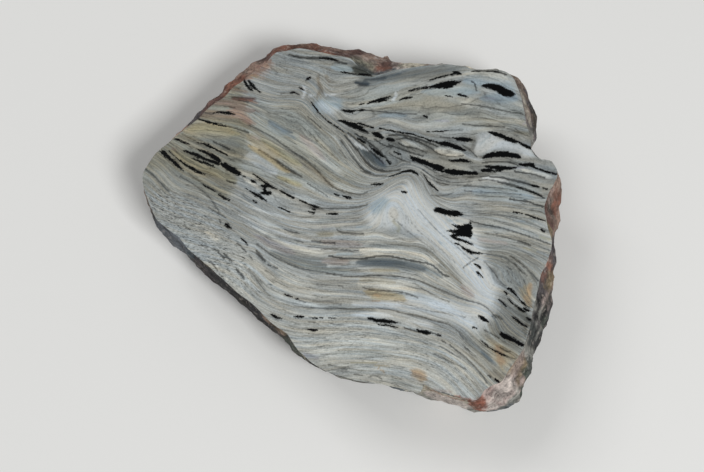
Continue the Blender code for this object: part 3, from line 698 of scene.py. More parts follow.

# %% [markdown]
# ## Broad areas
#
# The widest patches of colour come first, and later marks are painted over them. Each is a
# rough outline on the plan, with a soft edge. The darker block on the left is older mound
# that broke off and was buried; the milky wedge is quartz that filled a gap. The first grey
# area is painted shade: it darkens the whole upper half of the face, where less light falls.
# The dark area by the lower right rim is partly painted shade.

# %% Areas: colour, strength from 0 to 1, softness of the edge in mm, x and y of each point
AREAS = (
    # painted shade: the upper half of the face is darker, as less light falls there
    ("grey", 0.24, 10, (-50, 114, -66, 70, -112, 40, -104, 10, -60, -4, -46, 24, -10, 26, 20, 32, 45, 26,
     70, 27, 112, 20, 114, 60, 100, 104, 40, 108)),
    ("straw", 0.26, 10, (-60, 70, -32, 76, -14, 64, -4, 46, 6, 32, -8, 26, -46, 30, -62, 46)),
    ("straw", 0.2, 8, (-2, 80, 20, 88, 60, 80, 92, 76, 94, 62, 50, 66, 10, 74)),
    ("olive", 0.3, 6, (62, -52, 74, -48, 88, -58, 85, -67, 77, -78, 66, -80, 58, -68)),
    ("olive", 0.15, 6, (70, 20, 104, 18, 100, -14, 94, -30, 80, -26, 70, -8)),
    ("pale", 0.5, 8, (-50, -34, -28, -64, 0, -80, 30, -86, 58, -90, 66, -72, 40, -54, 0, -48, -30, -46)),
    ("block", 0.75, 3, (-62, 96, -60, 84, -57, 72, -57, 58, -59, 46, -61, 35, -64, 26, -68, 21, -76, 25,
     -88, 33, -100, 38, -118, 40, -110, 60, -80, 95)),
    ("block", 0.35, 5, (-64, 28, -68, 20, -80, 20, -96, 24, -115, 26, -115, 42, -80, 45)),
    ("pale", 0.4, 9, (-72, -16, -54, -8, -34, -24, -8, -30, 12, -38, 4, -48, -20, -50, -46, -46, -66, -28)),
    ("grey", 0.3, 9, (66, 0, 84, -2, 104, -6, 98, -36, 94, -58, 86, -74, 70, -74, 72, -54, 78, -36,
     70, -16)),
    ("milky", 0.95, 3, (6, 11, 10, 18, 16, 24, 25, 27, 31, 30, 35, 27, 40, 21, 44, 17, 50, 12, 58, 11,
     63, 8, 66, 0, 69, -10, 73, -20, 77, -32, 76, -40, 70, -46, 63, -42, 60, -32, 54, -20, 44, -9, 34, -1,
     22, 4, 10, 6)),
    ("milky", 0.75, 4, (18, -34, 36, -33, 52, -35, 66, -40, 72, -46, 64, -52, 52, -47, 40, -43, 26, -41,
     14, -39)),
    ("pale", 0.6, 6, (8, 2, 30, -2, 46, -12, 58, -26, 60, -36, 44, -32, 28, -26, 16, -22, 6, -10)),
    ("pale", 0.5, 6, (-30, -52, -8, -48, 10, -50, 34, -56, 40, -66, 20, -74, 0, -72, -18, -64)),
    ("white", 0.9, 2, (66, 47, 67, 53, 69, 58, 74, 59.5, 80, 57, 88, 53, 93, 51.5, 97, 49.5, 98, 46, 92, 45,
     90, 47.5, 85, 49, 78, 49.8, 71, 47.5)),
    ("ochre", 0.5, 3, (70, -57, 75, -58, 80, -61, 84, -65, 80, -70, 77, -74, 74, -69, 71, -64)),
    ("grey", 0.5, 4, (74, -10, 84, -12, 93, -24, 92, -34, 84, -32, 78, -26, 73, -18)),
    # dark olive stone by the lower right rim, darkened further with painted shade near the rim
    ("dark", 0.5, 4, (76, -32, 84, -37, 91, -45, 89, -54, 84, -62, 77, -58, 71, -50, 73, -40)),
    ("dark", 0.6, 2, (19, 58, 27, 58.5, 38, 55, 48, 49, 48, 43.5, 38, 46, 28, 49, 21, 52)),
    ("dark", 0.45, 3, (-6, 60, 4, 63, 12, 61, 20, 54, 28, 48, 32, 44, 26, 39, 18, 38, 10, 42, 3, 49,
     -3, 55)),
    ("grey", 0.5, 3, (46, 56, 58, 52, 68, 46, 72, 42, 68, 36, 54, 34, 46, 38, 36, 44, 44, 48)),
    ("slate", 0.62, 3, (5, 93, 18, 95.5, 34, 97.5, 54, 99, 58, 96.5, 40, 93, 22, 90, 8, 88)),
    ("grey", 0.2, 5, (-42, 108, -26, 106, -6, 104, 0, 97, -6, 90, -20, 92, -34, 96, -46, 98)),
)
print(len(AREAS), "areas")

# %% [markdown]
# ## Streaks along the layers
#
# Finer bands are strokes: a strength, a width and a path. They are grouped by colour. The
# paths follow the layers because iron and carbon spread along them far more easily than
# across them.

# %% Streaks that soaked in along the layers: strength, width in mm, x and y of each point
STREAKS = {
    "grey": (
        (0.5, 6, (-88, 53, -75, 53, -62, 52)), (0.6, 5, (-78, 33, -70, 30, -64, 26)),
        (0.6, 5, (-50, 55, -35, 47, -25, 44)),
        (0.8, 7, (-42, -10, -32, -13, -22, -15, -12, -15.5, -2, -15)),
        (0.6, 3, (-15, -18, -5, -19, 5, -19)),
        (0.6, 4, (10, -5, 25, -5.5, 35, -7, 42, -11, 48, -17, 54, -23, 58, -29)),
        (0.4, 3, (15, -23.5, 22, -23.8)), (0.4, 6, (28, -60, 40, -62, 50, -68)),
        (0.6, 3, (-12, -39.4, -5, -40, 3, -40.5, 12, -40.5))),
    "deep slate": (
        (1, 6, (3, 90, 9, 89)), (0.8, 4, (8, 91.5, 18, 92.5)), (0.5, 3.5, (16, 93, 26, 95)),
        (0.8, 3.5, (7, 48.5, 12, 44.5, 17, 40.5)), (0.6, 3, (10, -14.5, 18, -14.5, 27, -15.3))),
    "dark": (
        (0.8, 4, (7, 47.5, 11, 44.5, 15, 41.8)), (0.7, 3, (84, -38, 90, -46, 88, -54)),
        (0.6, 2, (48, 45, 56, 42.5, 66, 41.5)), (0.5, 2.5, (70, 43, 80, 43.5, 90, 42)),
        (0.5, 3, (60, 33.5, 68, 35.5, 76, 36)), (0.6, 2.5, (58, 56.5, 66, 54.5, 66, 50))),
    "dusk": (
        (1, 6.5, (0.5, 98.5, 5, 97.5, 11, 96)),),
    "clay": (
        (0.9, 4, (-59, 91.5, -53, 95.5, -48.5, 99.5, -45.5, 104)),
        (0.8, 4.5, (-67, 73, -60, 69.5, -55, 65))),
    "maroon": (
        (0.9, 2.8, (-66, 80.2, -59, 79.8, -53, 79.5)),),
    "soot": (
        (0.5, 4.5, (3.5, 89, 8, 88.3)),),
    "rust": (
        (0.4, 1.6, (-62, 79.6, -55, 79.2)), (0.8, 1.6, (52, -85.8, 56, -87, 60, -88.2, 64, -89.5))),
    "brown": (
        (0.6, 2, (-20, 95, -18.5, 90, -17, 86, -18.5, 82, -20, 80)),
        (0.5, 1.4, (-16, 97, -14, 93, -13.5, 90)), (0.5, 3, (-30, 44, -22, 38, -14, 31, -10, 28)),
        (0.5, 2, (-50, 49.5, -42, 44, -37, 39.5, -30, 35)), (0.5, 2.5, (50, -20, 56, -25)),
        (0.5, 4, (70, -73, 74, -76, 78, -79)), (0.4, 4, (-66, 84, -60, 88))),
    "slate": (
        (0.8, 2.5, (-46, 67, -42, 64.5, -37, 61.5, -33, 60)), (0.6, 2, (-36, 107, -30, 105.5)),
        (0.7, 3, (-9, 101.8, 0, 101.6)), (0.8, 4.5, (5, 49, 9, 46, 13, 43, 18, 39.5)),
        (0.85, 6, (3, -14.5, 10, -14.5, 18, -14.8, 26, -16, 33, -17, 39, -18.5)),
        (0.5, 3, (38, -18.5, 43, -20.5, 47, -23)),
        (0.5, 3, (55, -53.5, 58, -56, 61, -59, 64, -61.5, 68, -64.5, 70, -67, 72.5, -69.5)),
        (0.6, 2, (66, -63, 68.5, -65.3, 71, -68))),
    "blue": (
        (0.6, 8, (60, 84, 66, 87, 70, 90)), (0.7, 6, (72, 80, 81, 80.5, 90, 80)),
        (0.6, 4, (-38, 60, -31, 56.5)), (0.5, 4.5, (-45, 65, -41, 62, -36, 58.5)),
        (0.6, 2.5, (15, 70, 22, 70, 30, 70)), (0.6, 2.5, (40, -19.5, 46, -22)),
        (0.4, 7, (82, 29, 90, 28, 100, 26)), (0.6, 2.5, (85, 8.5, 90, 8.5))),
    "light blue": (
        (0.9, 8, (-20, 75, -13, 76, -7, 77)), (0.9, 4, (-11, 99, -5, 98.6, 0, 98)),
        (0.6, 7, (62, 91, 72, 92, 82, 89, 90, 83)), (0.6, 5, (40, 84.5, 52, 84, 65, 84)),
        (0.8, 7, (11, 14, 14, 17, 18, 20)), (0.6, 3, (50, 8.5, 58, 8.5)), (0.6, 3, (46, -3.5, 50, -4.5)),
        (0.5, 3, (70, 53, 74, 58)), (0.5, 8, (66, 24.5, 80, 25, 95, 22)),
        (0.5, 4, (44, 88, 58, 86, 70, 84)), (0.5, 3, (3, 5, 10, 5)), (0.6, 3, (-8, -10, 0, -10))),
    "white": (
        (0.8, 4, (-27, 81, -26, 87)), (0.8, 1.6, (22.3, 78.5, 23, 81, 24.6, 84.5)),
        (0.8, 3, (-15, 82.5, -10, 82.5)), (0.45, 5, (-18, 77, -13, 73.5, -8, 73)),
        (0.35, 3, (-13, 79, -8, 78)), (0.7, 3, (-24, 82, -21, 82)), (0.8, 2, (2, 53, 6, 51, 9, 49.5)),
        (0.9, 2, (11, 50, 13, 48)), (0.5, 6, (-56, 47, -48, 41, -42, 36)),
        (0.9, 7, (46, 4, 54, -6, 62, -18, 68, -28, 72, -36)), (0.8, 5, (30, 22, 34, 15, 40, 7)),
        (0.7, 1.2, (-60, 12, -50, 7, -40, 2.5, -30, -1, -18, -3)),
        (0.7, 1.2, (-56, 7, -46, 2, -36, -3, -24, -6.5, -10, -8)),
        (0.6, 1.2, (-56, 17, -44, 13, -32, 9.5, -20, 8.5)), (0.8, 3, (0, -37.5, 12, -37.5, 25, -38)),
        (0.4, 4, (28, -46.5, 36, -48, 42, -50)), (0.6, 2.5, (0, -43, 10, -43, 20, -43.5)),
        (0.5, 5, (40, -37, 52, -41, 62, -48)), (0.8, 2.2, (71, 33, 78, 32.2, 84, 30.6)),
        (0.8, 2.6, (94, 36.8, 101, 35.2, 107, 33.4)), (0.6, 2, (-2, 57.5, 2, 53.5, 5.5, 50)),
        (0.6, 1.5, (60, 47, 66, 44.5, 70, 44))),
    "pale": (
        (0.6, 2.4, (26, 54, 31, 53.2, 36, 51.5, 40, 49.5)),
        (0.8, 1.8, (-50, 3.8, -44, 1, -38, -3, -33, -5.5, -27, -7, -22, -8.8, -15, -9.3)),
        (0.7, 1.2, (-47, 8.5, -42, 6, -36, 3, -30, 0.5)), (0.7, 1, (-50, -2, -46, -5, -42, -8)),
        (0.7, 1.2, (-33, 10, -27, 8.5, -20, 8)), (0.7, 1.2, (-22, -4.2, -14, -4.8, -8, -5.2)),
        (0.6, 4, (-42, -15, -36, -19, -30, -23, -22, -26)), (0.5, 4, (-22, 50, -12, 41, -6, 35)),
        (0.5, 3, (-10, 58, -3, 50, 3, 43)), (0.6, 3, (-44, 24, -32, 22, -20, 20)),
        (0.5, 6, (62, 94, 74, 94, 85, 93)), (0.6, 3, (44, 50, 52, 49, 60, 47.5)),
        (0.5, 5, (-75, -15, -62, -25, -50, -35)), (0.6, 3, (5, -67, 15, -67, 25, -68)),
        (0.7, 2, (26, 53.5, 32, 52)), (0.8, 1.2, (-14, -15.5, -11, -16.8, -7, -16.5, -4, -15.5)),
        (0.7, 6, (-38, -21, -30, -25, -20, -28)), (0.6, 5, (60, 78, 75, 74, 90, 68))),
    "straw": (
        (0.8, 5, (-88, 61.5, -80, 62.5, -70, 61.5, -62, 59)), (0.7, 4, (-48, 55, -38, 47, -28, 41)),
        (0.8, 3, (-40, 34, -34, 31.5, -27, 28.5)), (0.5, 2.2, (22, 9, 24, 5, 25, 2)),
        (0.6, 3, (10, -34, 18, -35)), (0.6, 2, (20, -32, 27, -32.6)), (0.6, 1.5, (0, -68.5, 12, -68.5)),
        (0.6, 2.5, (99, -0.5, 104, -2)), (0.5, 2, (90, -6.5, 96, -8))),
    "cream": (
        (0.8, 4, (-57, 32, -51, 28)), (0.8, 2.5, (90, 38.3, 96, 36.5, 102, 34.8, 108, 33.5)),
        (0.85, 4.6, (4, -8, 10, -9, 20, -8.8, 30, -10, 38, -12, 44, -14.5)),
        (0.6, 4.5, (3, -26, 9, -26.5, 18, -26)), (0.6, 4, (15, -27, 24, -28, 33, -30.5)),
        (0.6, 5, (-76, 2, -71, -2)), (0.9, 4, (45, 49, 52, 47.8, 60, 46.8)),
        (0.5, 2.5, (-16, -67, -8, -67)), (0.5, 2, (66, 46.5, 70, 45)),
        (0.5, 5, (42, -86.5, 50, -88.5, 58, -91))),
    "ochre": (
        (0.9, 3, (-56, 52, -50, 48, -43, 43, -38, 39, -34, 36.5)),
        (0.8, 5, (7, -31, 14, -32, 20, -33, 27, -34.5)), (0.4, 3, (4, -24.5, 12, -24.5, 22, -26)),
        (0.5, 5, (89, -28, 90, -33, 91, -38)), (0.5, 9, (-90, 60, -78, 62, -66, 60)),
        (0.4, 6, (-56, 58, -48, 52, -40, 46)), (0.65, 4, (74, -59, 75, -64, 76, -71)),
        (0.6, 2, (12, -70, 20, -70.5)), (0.4, 3, (-55, 94, -52, 93))),
    "orange": (
        (0.8, 3.5, (11, -32.3, 14, -33)), (0.7, 2, (10, -36, 14, -36)),
        (0.7, 3, (93, -27, 91.5, -31, 90.5, -35, 91.5, -38)), (0.8, 5, (31, -73.5, 35, -75, 37, -77.5)),
        (0.8, 2.2, (14, -71, 15.5, -73.5)), (0.6, 2, (73.5, -60.3, 74.5, -61.5))),
    "olive": (
        (0.7, 5, (-97, 49, -90, 44, -80, 39, -70, 35, -62, 31)), (0.5, 2.5, (10, -19, 17, -19, 25, -19)),
        (0.5, 3, (-18, 1, -14, 1, -10, 1)), (0.5, 5, (88, 60, 98, 59)), (0.4, 3, (-8, 5, -6, 5))),
    "pink": (
        (0.5, 6, (-50, 92, -44, 101)), (0.5, 3, (-76, 77, -66, 77)), (0.6, 4, (-28, 58, -22, 52, -15, 44)),
        (0.5, 4, (-16, -3, -6, -4, 5, -5)), (0.5, 4, (-15, -14, -8, -14.2, -2, -14)),
        (0.6, 4, (57, -28, 60, -31, 62, -33)), (0.5, 5, (67, -2, 80, -4)), (0.5, 4, (-54, 57, -50, 56)),
        (0.6, 3, (42, -82.5, 50, -84))),
    "lilac": (
        (0.6, 3, (74, 80, 78, 80)), (0.7, 4, (93, 65, 96, 69)), (0.5, 3, (88, 39, 92, 39)),
        (0.6, 3, (15.5, 43.4, 17, 42)), (0.6, 4, (-50, 0, -44, -3.5, -37, -7, -30, -9.5)),
        (0.5, 3, (-15, 5, -13, 5)), (0.6, 3, (45, 67, 52, 66.5)), (0.5, 5, (-24, -64, -18, -66))),
    "stain": (
        (0.8, 2.5, (-57, 78.7, -52, 77.6)), (0.6, 3, (-66, 74.5, -60, 73.6, -52, 72.5)),
        (0.5, 5, (-57, 67, -53, 65)), (0.5, 4, (74, -60, 75, -65, 76.5, -70)),
        (0.3, 4, (31, -73.5, 36, -76)), (0.5, 3, (-98, 51, -96, 50)),
        (0.45, 5, (-86, 70.5, -76, 71, -64, 69)), (0.6, 4, (-78, 78.5, -68, 77.5, -58, 75.5)),
        (0.45, 5, (-66, 86, -58, 84)), (0.7, 3, (62, -86.5, 66, -88))),
    "teal": (
        (0.6, 4, (-17, 9, -8, 9)), (0.7, 3, (-28, -15.5, -20, -18, -10, -19.5, 0, -20)),
        (0.5, 3, (-27, 2, -24, 1.5)), (0.5, 3, (38, 68, 45, 68)), (0.6, 4, (90, 6, 98, 9)),
        (0.5, 3, (-10, -63.5, 5, -63, 20, -64.5)), (0.5, 4, (20, -77, 35, -82))),
}
print(sum(len(strokes) for strokes in STREAKS.values()), "streaks of colour")

# %% [markdown]
# ## Speckled areas
#
# In places the layers are broken into grains like coarse pepper and salt. No outline of a
# grain is drawn: an area only says how strongly the material should break the layers up.

# %% Speckled areas: strength, softness of the edge in mm, x and y of each point
SPECKLED = (
    (1.0, 6, (-112, 26, -98, 26, -82, 20, -68, 8, -58, -2, -52, -14, -56, -34, -70, -24, -88, -10,
     -106, 8)),
    (0.6, 5, (74, -12, 88, -14, 92, -26, 82, -30, 75, -22)),
    (0.6, 6, (28, -56, 44, -58, 62, -72, 62, -84, 44, -78, 30, -66)),
    (0.5, 5, (-24, -46, 4, -46, 8, -64, -20, -62)), (0.5, 4, (-18, 0, 6, 0, 8, -7, -16, -6)),
    (0.4, 6, (-40, 110, -14, 104, -12, 84, -36, 86, -48, 98)),
)
print(len(SPECKLED), "speckled areas")

# %% [markdown]
# ## The rim
#
# The CAD rim is six rings of points, one below the other. A finer skin is lofted through
# the same rings, so that the rim keeps its place and gets enough points for stone relief.
# The rings are read back from a copy of the CAD mesh, since the CAD piece itself must stay
# as it is: its doubles are merged and its two flat sides are dropped.

# %% Read the rings of the CAD rim
FLAT_TOLERANCE = 1e-5       # m


def merged_copy(node):
    """The CAD piece as a new bmesh, with its doubles merged and its flat sides removed."""
    copy = bmesh.new()
    copy.from_mesh(node.data)
    bmesh.ops.remove_doubles(copy, verts=copy.verts, dist=FLAT_TOLERANCE)
    flat = [face for face in copy.faces
            if max(abs(v.co.z) for v in face.verts) < FLAT_TOLERANCE
            or min(v.co.z for v in face.verts) > FACE_HEIGHT - FLAT_TOLERANCE]
    bmesh.ops.delete(copy, geom=flat, context="FACES")
    return copy


def neighbours(vertex):
    """The vertices that share an edge with one."""
    return [edge.other_vert(vertex) for edge in vertex.link_edges]


def walk_ring(ring):
    """The vertices of a ring, one after the other."""
    ring = set(ring)
    path = [min(ring, key=lambda v: v.index)]
    while len(path) < len(ring):
        path.append(next(v for v in neighbours(path[-1]) if v in ring and v not in path))
    return path


def matched(ring, lower):
    """The lower ring, started and turned so that each vertex lies under its neighbour."""
    links = [set(neighbours(v)) for v in ring]
    for turned in (lower, lower[::-1]):
        for shift in range(len(ring)):
            moved = turned[shift:] + turned[:shift]
            if all(v in link for v, link in zip(moved, links)):
                return moved
    raise ValueError("two rings of the rim don't match")


def rim_rings(node):
    """The rim's rings from the face down, as an array: ring, place round the rim, x y z."""
    copy = merged_copy(node)
    copy.verts.index_update()
    below = {v for v in copy.verts if v.co.z > FACE_HEIGHT - FLAT_TOLERANCE}
    rings, seen = [], set()
    while below:
        ring = walk_ring(below)
        rings.append(matched(rings[-1], ring) if rings else ring)
        seen |= below
        below = {v for upper in ring for v in neighbours(upper)} - seen
    result = np.array([[v.co[:] for v in ring] for ring in rings])
    copy.free()
    return result


rings = rim_rings(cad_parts["stromatolite"])
print("rings and points in each:", rings.shape[:2])

# %% [markdown]
# ## A finer skin for the rim
#
# A smooth curve is run through every CAD ring, and rows of points are laid between the
# rings about a millimetre apart. Three lumps that are too small for the CAD rings are
# raised here, each as a smooth hump. The rows run anticlockwise, so every quad between
# them faces outwards.

# %% Loft a finer skin through them
ROW_HEIGHT = 1.15           # mm
LUMPS = (       # middle as x, y and depth, reach and width, in mm, and which way it points
    ((93, -66, 13), 3.2, 8.5, (0.93, -0.37)),
    ((85, -81, 15), 1.6, 8.0, (0.7, -0.7)),
    ((108.5, -1, 11), 1.5, 6.0, (1.0, 0.0)),
)


def lofted(rings):
    """Rows of points from the top ring to the bottom one, about a millimetre apart."""
    dense = np.stack([smooth_path(ring, closed=True) for ring in rings])
    rows = []
    for upper, lower in zip(dense[:-1], dense[1:]):
        steps = max(1, round(np.linalg.norm(lower - upper, axis=1).mean() / MM / ROW_HEIGHT))
        rows += [upper + (lower - upper) * k / steps for k in range(steps)]
    return np.array(rows + [dense[-1]])


def anticlockwise(rows):
    """The rows, turned if need be so that they run anticlockwise seen from above."""
    x, y = rows[0, :, 0], rows[0, :, 1]
    area = (x * np.roll(y, -1) - np.roll(x, -1) * y).sum()
    return rows if area > 0 else rows[:, ::-1]


def grid_faces(rows, columns):
    """Quads of a grid that closes on itself, facing outwards."""
    place = np.arange(rows * columns).reshape(rows, columns)
    after = np.roll(place, -1, axis=1)
    return np.stack((place[1:], after[1:], after[:-1], place[:-1]), -1).reshape(-1, 4)


def with_lumps(rows):
    """The rows, pushed out sideways into the lumps of the rim."""
    deep = (FACE_HEIGHT - rows[..., 2]) / MM
    places = np.dstack((to_plan(rows.reshape(-1, 3)).reshape(*rows.shape[:2], 2), deep))
    for middle, reach, width, (right, up) in LUMPS:
        gap = np.linalg.norm(places - middle, axis=2)
        push = reach * MM * np.exp(-(gap / width) ** 2)
        rows = rows + push[..., None] * (right, up, 0)
    return rows


rim_rows = with_lumps(anticlockwise(lofted(rings)))
print("rim rows and columns:", rim_rows.shape[:2])

# %% [markdown]
# ## Broken rock
#
# Real broken chert has three sizes of relief: ledges where a soft layer has crumbled back,
# shallow scoops where chips flew off, and a fine grain. All three follow rules, so a
# Geometry Nodes tree makes them. The CAD surface is taken as the middle of the relief, so
# the deepest chips are cut into it and the highest ledges stand a little proud of it. The
# rows at the face and at the back may only move sideways, because the two flat sides have
# to stay flat, and the saw cut the face's edge clean, so the relief starts gently there.

# %% Building blocks for node trees
RIM_INPUTS = {      # the tree's inputs, in metres where they are lengths
    "Middle Depth": 2.6 * MM,
    "Ledge Depth": 1.6 * MM,
    "Ledges per Layer": 0.2,
    "Ledges per Metre Down": 170.0,
    "Ledges per Metre Round": 18.0,
    "Chip Depth": 3.2 * MM,
    "Chip Size": 8.0 * MM,
    "Chip Bend": 12.0 * MM,
    "Bends per Metre": 60.0,
    "Grain Depth": 0.8 * MM,
    "Grain Size": 2.2 * MM,
    "Seed": 7.0,
}


def maths(tree, operation, a, b=None, c=None):
    """A Math node's output; works in shader and geometry trees."""
    inputs = {k: v for k, v in enumerate((a, b, c)) if v is not None}
    return add(tree, "ShaderNodeMath", inputs, operation=operation).outputs[0]


def times(tree, a, b):
    """A product of two values."""
    return maths(tree, "MULTIPLY", a, b)


def summed(tree, *values):
    """Adds up any number of values."""
    total = values[0]
    for value in values[1:]:
        total = maths(tree, "ADD", total, value)
    return total


def vector_maths(tree, operation, vector, other):
    """A Vector Math node's output. SCALE takes a number, the other operations a vector."""
    key = "Scale" if operation == "SCALE" else 1
    return add(tree, "ShaderNodeVectorMath", {0: vector, key: other},
               operation=operation).outputs[0]


def parts_of(tree, vector):
    """A vector's X, Y and Z, by name."""
    return add(tree, "ShaderNodeSeparateXYZ", {0: vector}).outputs


def vector_of(tree, x, y, z):
    """A vector from its three parts."""
    return add(tree, "ShaderNodeCombineXYZ", {"X": x, "Y": y, "Z": z}).outputs[0]


def noise_texture(tree, vector, scale=1.0, detail=3.0, more=None, **settings):
    """A Noise Texture's outputs: grey first, coloured second."""
    inputs = {"Vector": vector, "Scale": scale, "Detail": detail, **(more or {})}
    return add(tree, "ShaderNodeTexNoise", inputs, **settings).outputs


print(len(RIM_INPUTS), "sizes for the rim's relief")

# %% Build the tree for the broken rim
def stored(tree, name):
    """A number that was stored at every vertex."""
    return add(tree, "GeometryNodeInputNamedAttribute", {"Name": name}).outputs["Attribute"]


def seeded_noise(tree, given, vector, scale=1.0, detail=3.0):
    """Noise in four dimensions: the seed is the fourth, and picks another pattern."""
    return noise_texture(tree, vector, scale, detail, {"W": given["Seed"]},
                         noise_dimensions="4D")[0]


def ledges(tree, given, place):
    """How far soft layers have crumbled back."""
    down = times(tree, parts_of(tree, place)["Z"], given["Ledges per Metre Down"])
    bed = maths(tree, "MULTIPLY_ADD", stored(tree, "layer"), given["Ledges per Layer"], down)
    level = parts_of(tree, vector_maths(tree, "SCALE", place, given["Ledges per Metre Round"]))
    pattern = seeded_noise(tree, given, vector_of(tree, level["X"], level["Y"], bed))
    return times(tree, pattern, given["Ledge Depth"])


def chips(tree, given, place):
    """How deep chips have flown off: a scoop round the middle of every bent cell."""
    bend = noise_texture(tree, place, given["Bends per Metre"], 2.0)[1]
    bent = vector_maths(tree, "ADD", place,
                        vector_maths(tree, "SCALE", bend, given["Chip Bend"]))
    scale = maths(tree, "DIVIDE", 1.0, given["Chip Size"])
    cells = add(tree, "ShaderNodeTexVoronoi", {"Vector": bent, "W": given["Seed"],
                                               "Scale": scale}, voronoi_dimensions="4D")
    scoop = maths(tree, "SUBTRACT", 1.0, cells.outputs["Distance"])
    return times(tree, maths(tree, "MAXIMUM", scoop, 0.0), given["Chip Depth"])


def grain(tree, given, place):
    """The fine roughness of broken chert."""
    scale = maths(tree, "DIVIDE", 1.0, given["Grain Size"])
    return times(tree, seeded_noise(tree, given, place, scale, 2.0), given["Grain Depth"])


def broken_rim_tree():
    """Pushes a rim in and out into ledges, chips and grain, and keeps how deep they are."""
    tree = bpy.data.node_groups.new("broken_rim", "GeometryNodeTree")
    face = tree.interface
    face.new_socket("Geometry", in_out="INPUT", socket_type="NodeSocketGeometry")
    for name in RIM_INPUTS:
        face.new_socket(name, in_out="INPUT", socket_type="NodeSocketFloat")
    face.new_socket("Material", in_out="INPUT", socket_type="NodeSocketMaterial")
    face.new_socket("Geometry", in_out="OUTPUT", socket_type="NodeSocketGeometry")
    given = add(tree, "NodeGroupInput").outputs
    place = add(tree, "GeometryNodeInputPosition").outputs[0]
    depth = summed(tree, *(relief(tree, given, place) for relief in (ledges, chips, grain)))
    depth = maths(tree, "SUBTRACT", depth, given["Middle Depth"])
    depth = times(tree, depth, stored(tree, "give"))
    normal = add(tree, "GeometryNodeInputNormal").outputs[0]
    push = parts_of(tree, vector_maths(tree, "SCALE", normal, times(tree, depth, -1.0)))
    push = vector_of(tree, push["X"], push["Y"], times(tree, push["Z"], stored(tree, "free")))
    kept = add(tree, "GeometryNodeStoreNamedAttribute", {
        "Geometry": given["Geometry"], "Name": "hollow",
        "Value": maths(tree, "DIVIDE", depth, MM)}).outputs[0]
    moved = add(tree, "GeometryNodeSetPosition", {"Geometry": kept, "Offset": push}).outputs[0]
    whole = add(tree, "GeometryNodeRealizeInstances", {0: moved}).outputs[0]
    dressed = add(tree, "GeometryNodeSetMaterial", {"Geometry": whole,
                                                    "Material": given["Material"]})
    add(tree, "NodeGroupOutput", {0: dressed.outputs[0]})
    return tree


rim_tree = broken_rim_tree()
print(len(rim_tree.nodes), "nodes in the rim's tree")

# %% Run the rim through it
BOX_MARGIN = 0.02 * MM      # the relief stays this far inside the CAD box
EDGE_GIVE = (0.25, 0.6, 0.85)    # how much of the relief the rows by the sawn face take
WEATHERED = {"Roughness": 0.8, "Specular IOR Level": 0.3}


def set_inputs(modifier, values):
    """Sets a Geometry Nodes modifier's inputs, each by its socket's identifier."""
    for socket in modifier.node_group.interface.items_tree:
        if socket.in_out == "INPUT" and socket.name in values:
            modifier[socket.identifier] = values[socket.name]


def put_attribute(mesh, name, values):
    """Stores a number at every vertex."""
    made = mesh.attributes.new(name, "FLOAT", "POINT")
    made.data.foreach_set("value", np.asarray(values, np.float32).ravel())


def get_attribute(mesh, name):
    """The numbers stored at the vertices, as an array."""
    values = np.zeros(len(mesh.vertices), np.float32)
    mesh.attributes[name].data.foreach_get("value", values)
    return values


def positions(mesh):
    """The vertices of a mesh as an array."""
    values = np.zeros(3 * len(mesh.vertices), np.float32)
    mesh.vertices.foreach_get("co", values)
    return values.reshape(-1, 3).astype(float)


def broken_rim(rows, material):
    """The rim's skin, run through the tree and turned back into a plain mesh."""
    height, columns = rows.shape[:2]
    mesh = bpy.data.meshes.new("rim")
    mesh.from_pydata(rows.reshape(-1, 3).tolist(), [], grid_faces(height, columns).tolist())
    mesh.shade_smooth()
    put_attribute(mesh, "layer", read_plate(plate, to_plan(positions(mesh)))[0])
    free = np.ones((height, columns))
    free[[0, -1]] = 0
    put_attribute(mesh, "free", free)
    give = np.ones((height, columns))
    give[:len(EDGE_GIVE)] = np.array(EDGE_GIVE)[:, None]
    put_attribute(mesh, "give", give)
    rim = put_in_scene("rim", mesh)
    modifier = rim.modifiers.new("broken_rim", "NODES")
    modifier.node_group = rim_tree
    set_inputs(modifier, {**RIM_INPUTS, "Material": material})
    graph = bpy.context.evaluated_depsgraph_get()
    result = bpy.data.meshes.new_from_object(rim.evaluated_get(graph))
    bpy.data.objects.remove(rim)
    return result


rim_stone, rim_nodes, rim_shader = new_material("broken_rim_stone", WEATHERED)
rim_mesh = broken_rim(rim_rows, rim_stone)
hollow = get_attribute(rim_mesh, "hollow")
print(f"relief from {hollow.min():.2f} to {hollow.max():.2f} mm deep")

# %% [markdown]
# ## The two flat sides
#
# The polished face needs many small triangles, because its pattern is painted on its
# vertices. Points are laid in rows like the cells of a honeycomb. Down the middle of
# every narrow mark runs a line of its own points, so that a thin line stays thin. A
# Delaunay triangulation joins them all, and ends exactly on the rim's first row.

# %% Lay out points
FACE_SPACING = 0.86         # mm between the points of the face
BACK_SPACING = 4.5          # mm between the points of the back
OUTLINE_GAP = 0.42          # share of the spacing that points keep from the outline
POINT_GAP = 0.58            # share of it that they keep from each other
SPINE_SPACING = 0.7         # mm between the points down the middle of a mark
WIDEST_WITH_SPINE = 3.0     # mm
SAME_POINT = 1e-6           # mm
INSIDE_ONLY = 1             # what the triangulation keeps


def honeycomb(low, high, spacing):
    """Rows of points over a box, each row shifted by half a step."""
    rise = spacing * math.sqrt(3) / 2
    rows = []
    for k in range(int((high[1] - low[1]) / rise) + 1):
        x = np.arange(low[0] + (k % 2) * spacing / 2, high[0], spacing)
        rows.append(np.column_stack((x, np.full(len(x), low[1] + k * rise))))
    return np.concatenate(rows)


def walked(path, spacing):
    """Points at even steps along a path."""
    reach = np.append(0, np.cumsum(np.linalg.norm(np.diff(path[:, :2], axis=0), axis=1)))
    stops = np.linspace(0, reach[-1], max(2, int(reach[-1] / spacing) + 1))
    return np.column_stack([np.interp(stops, reach, path[:, k]) for k in (0, 1)])


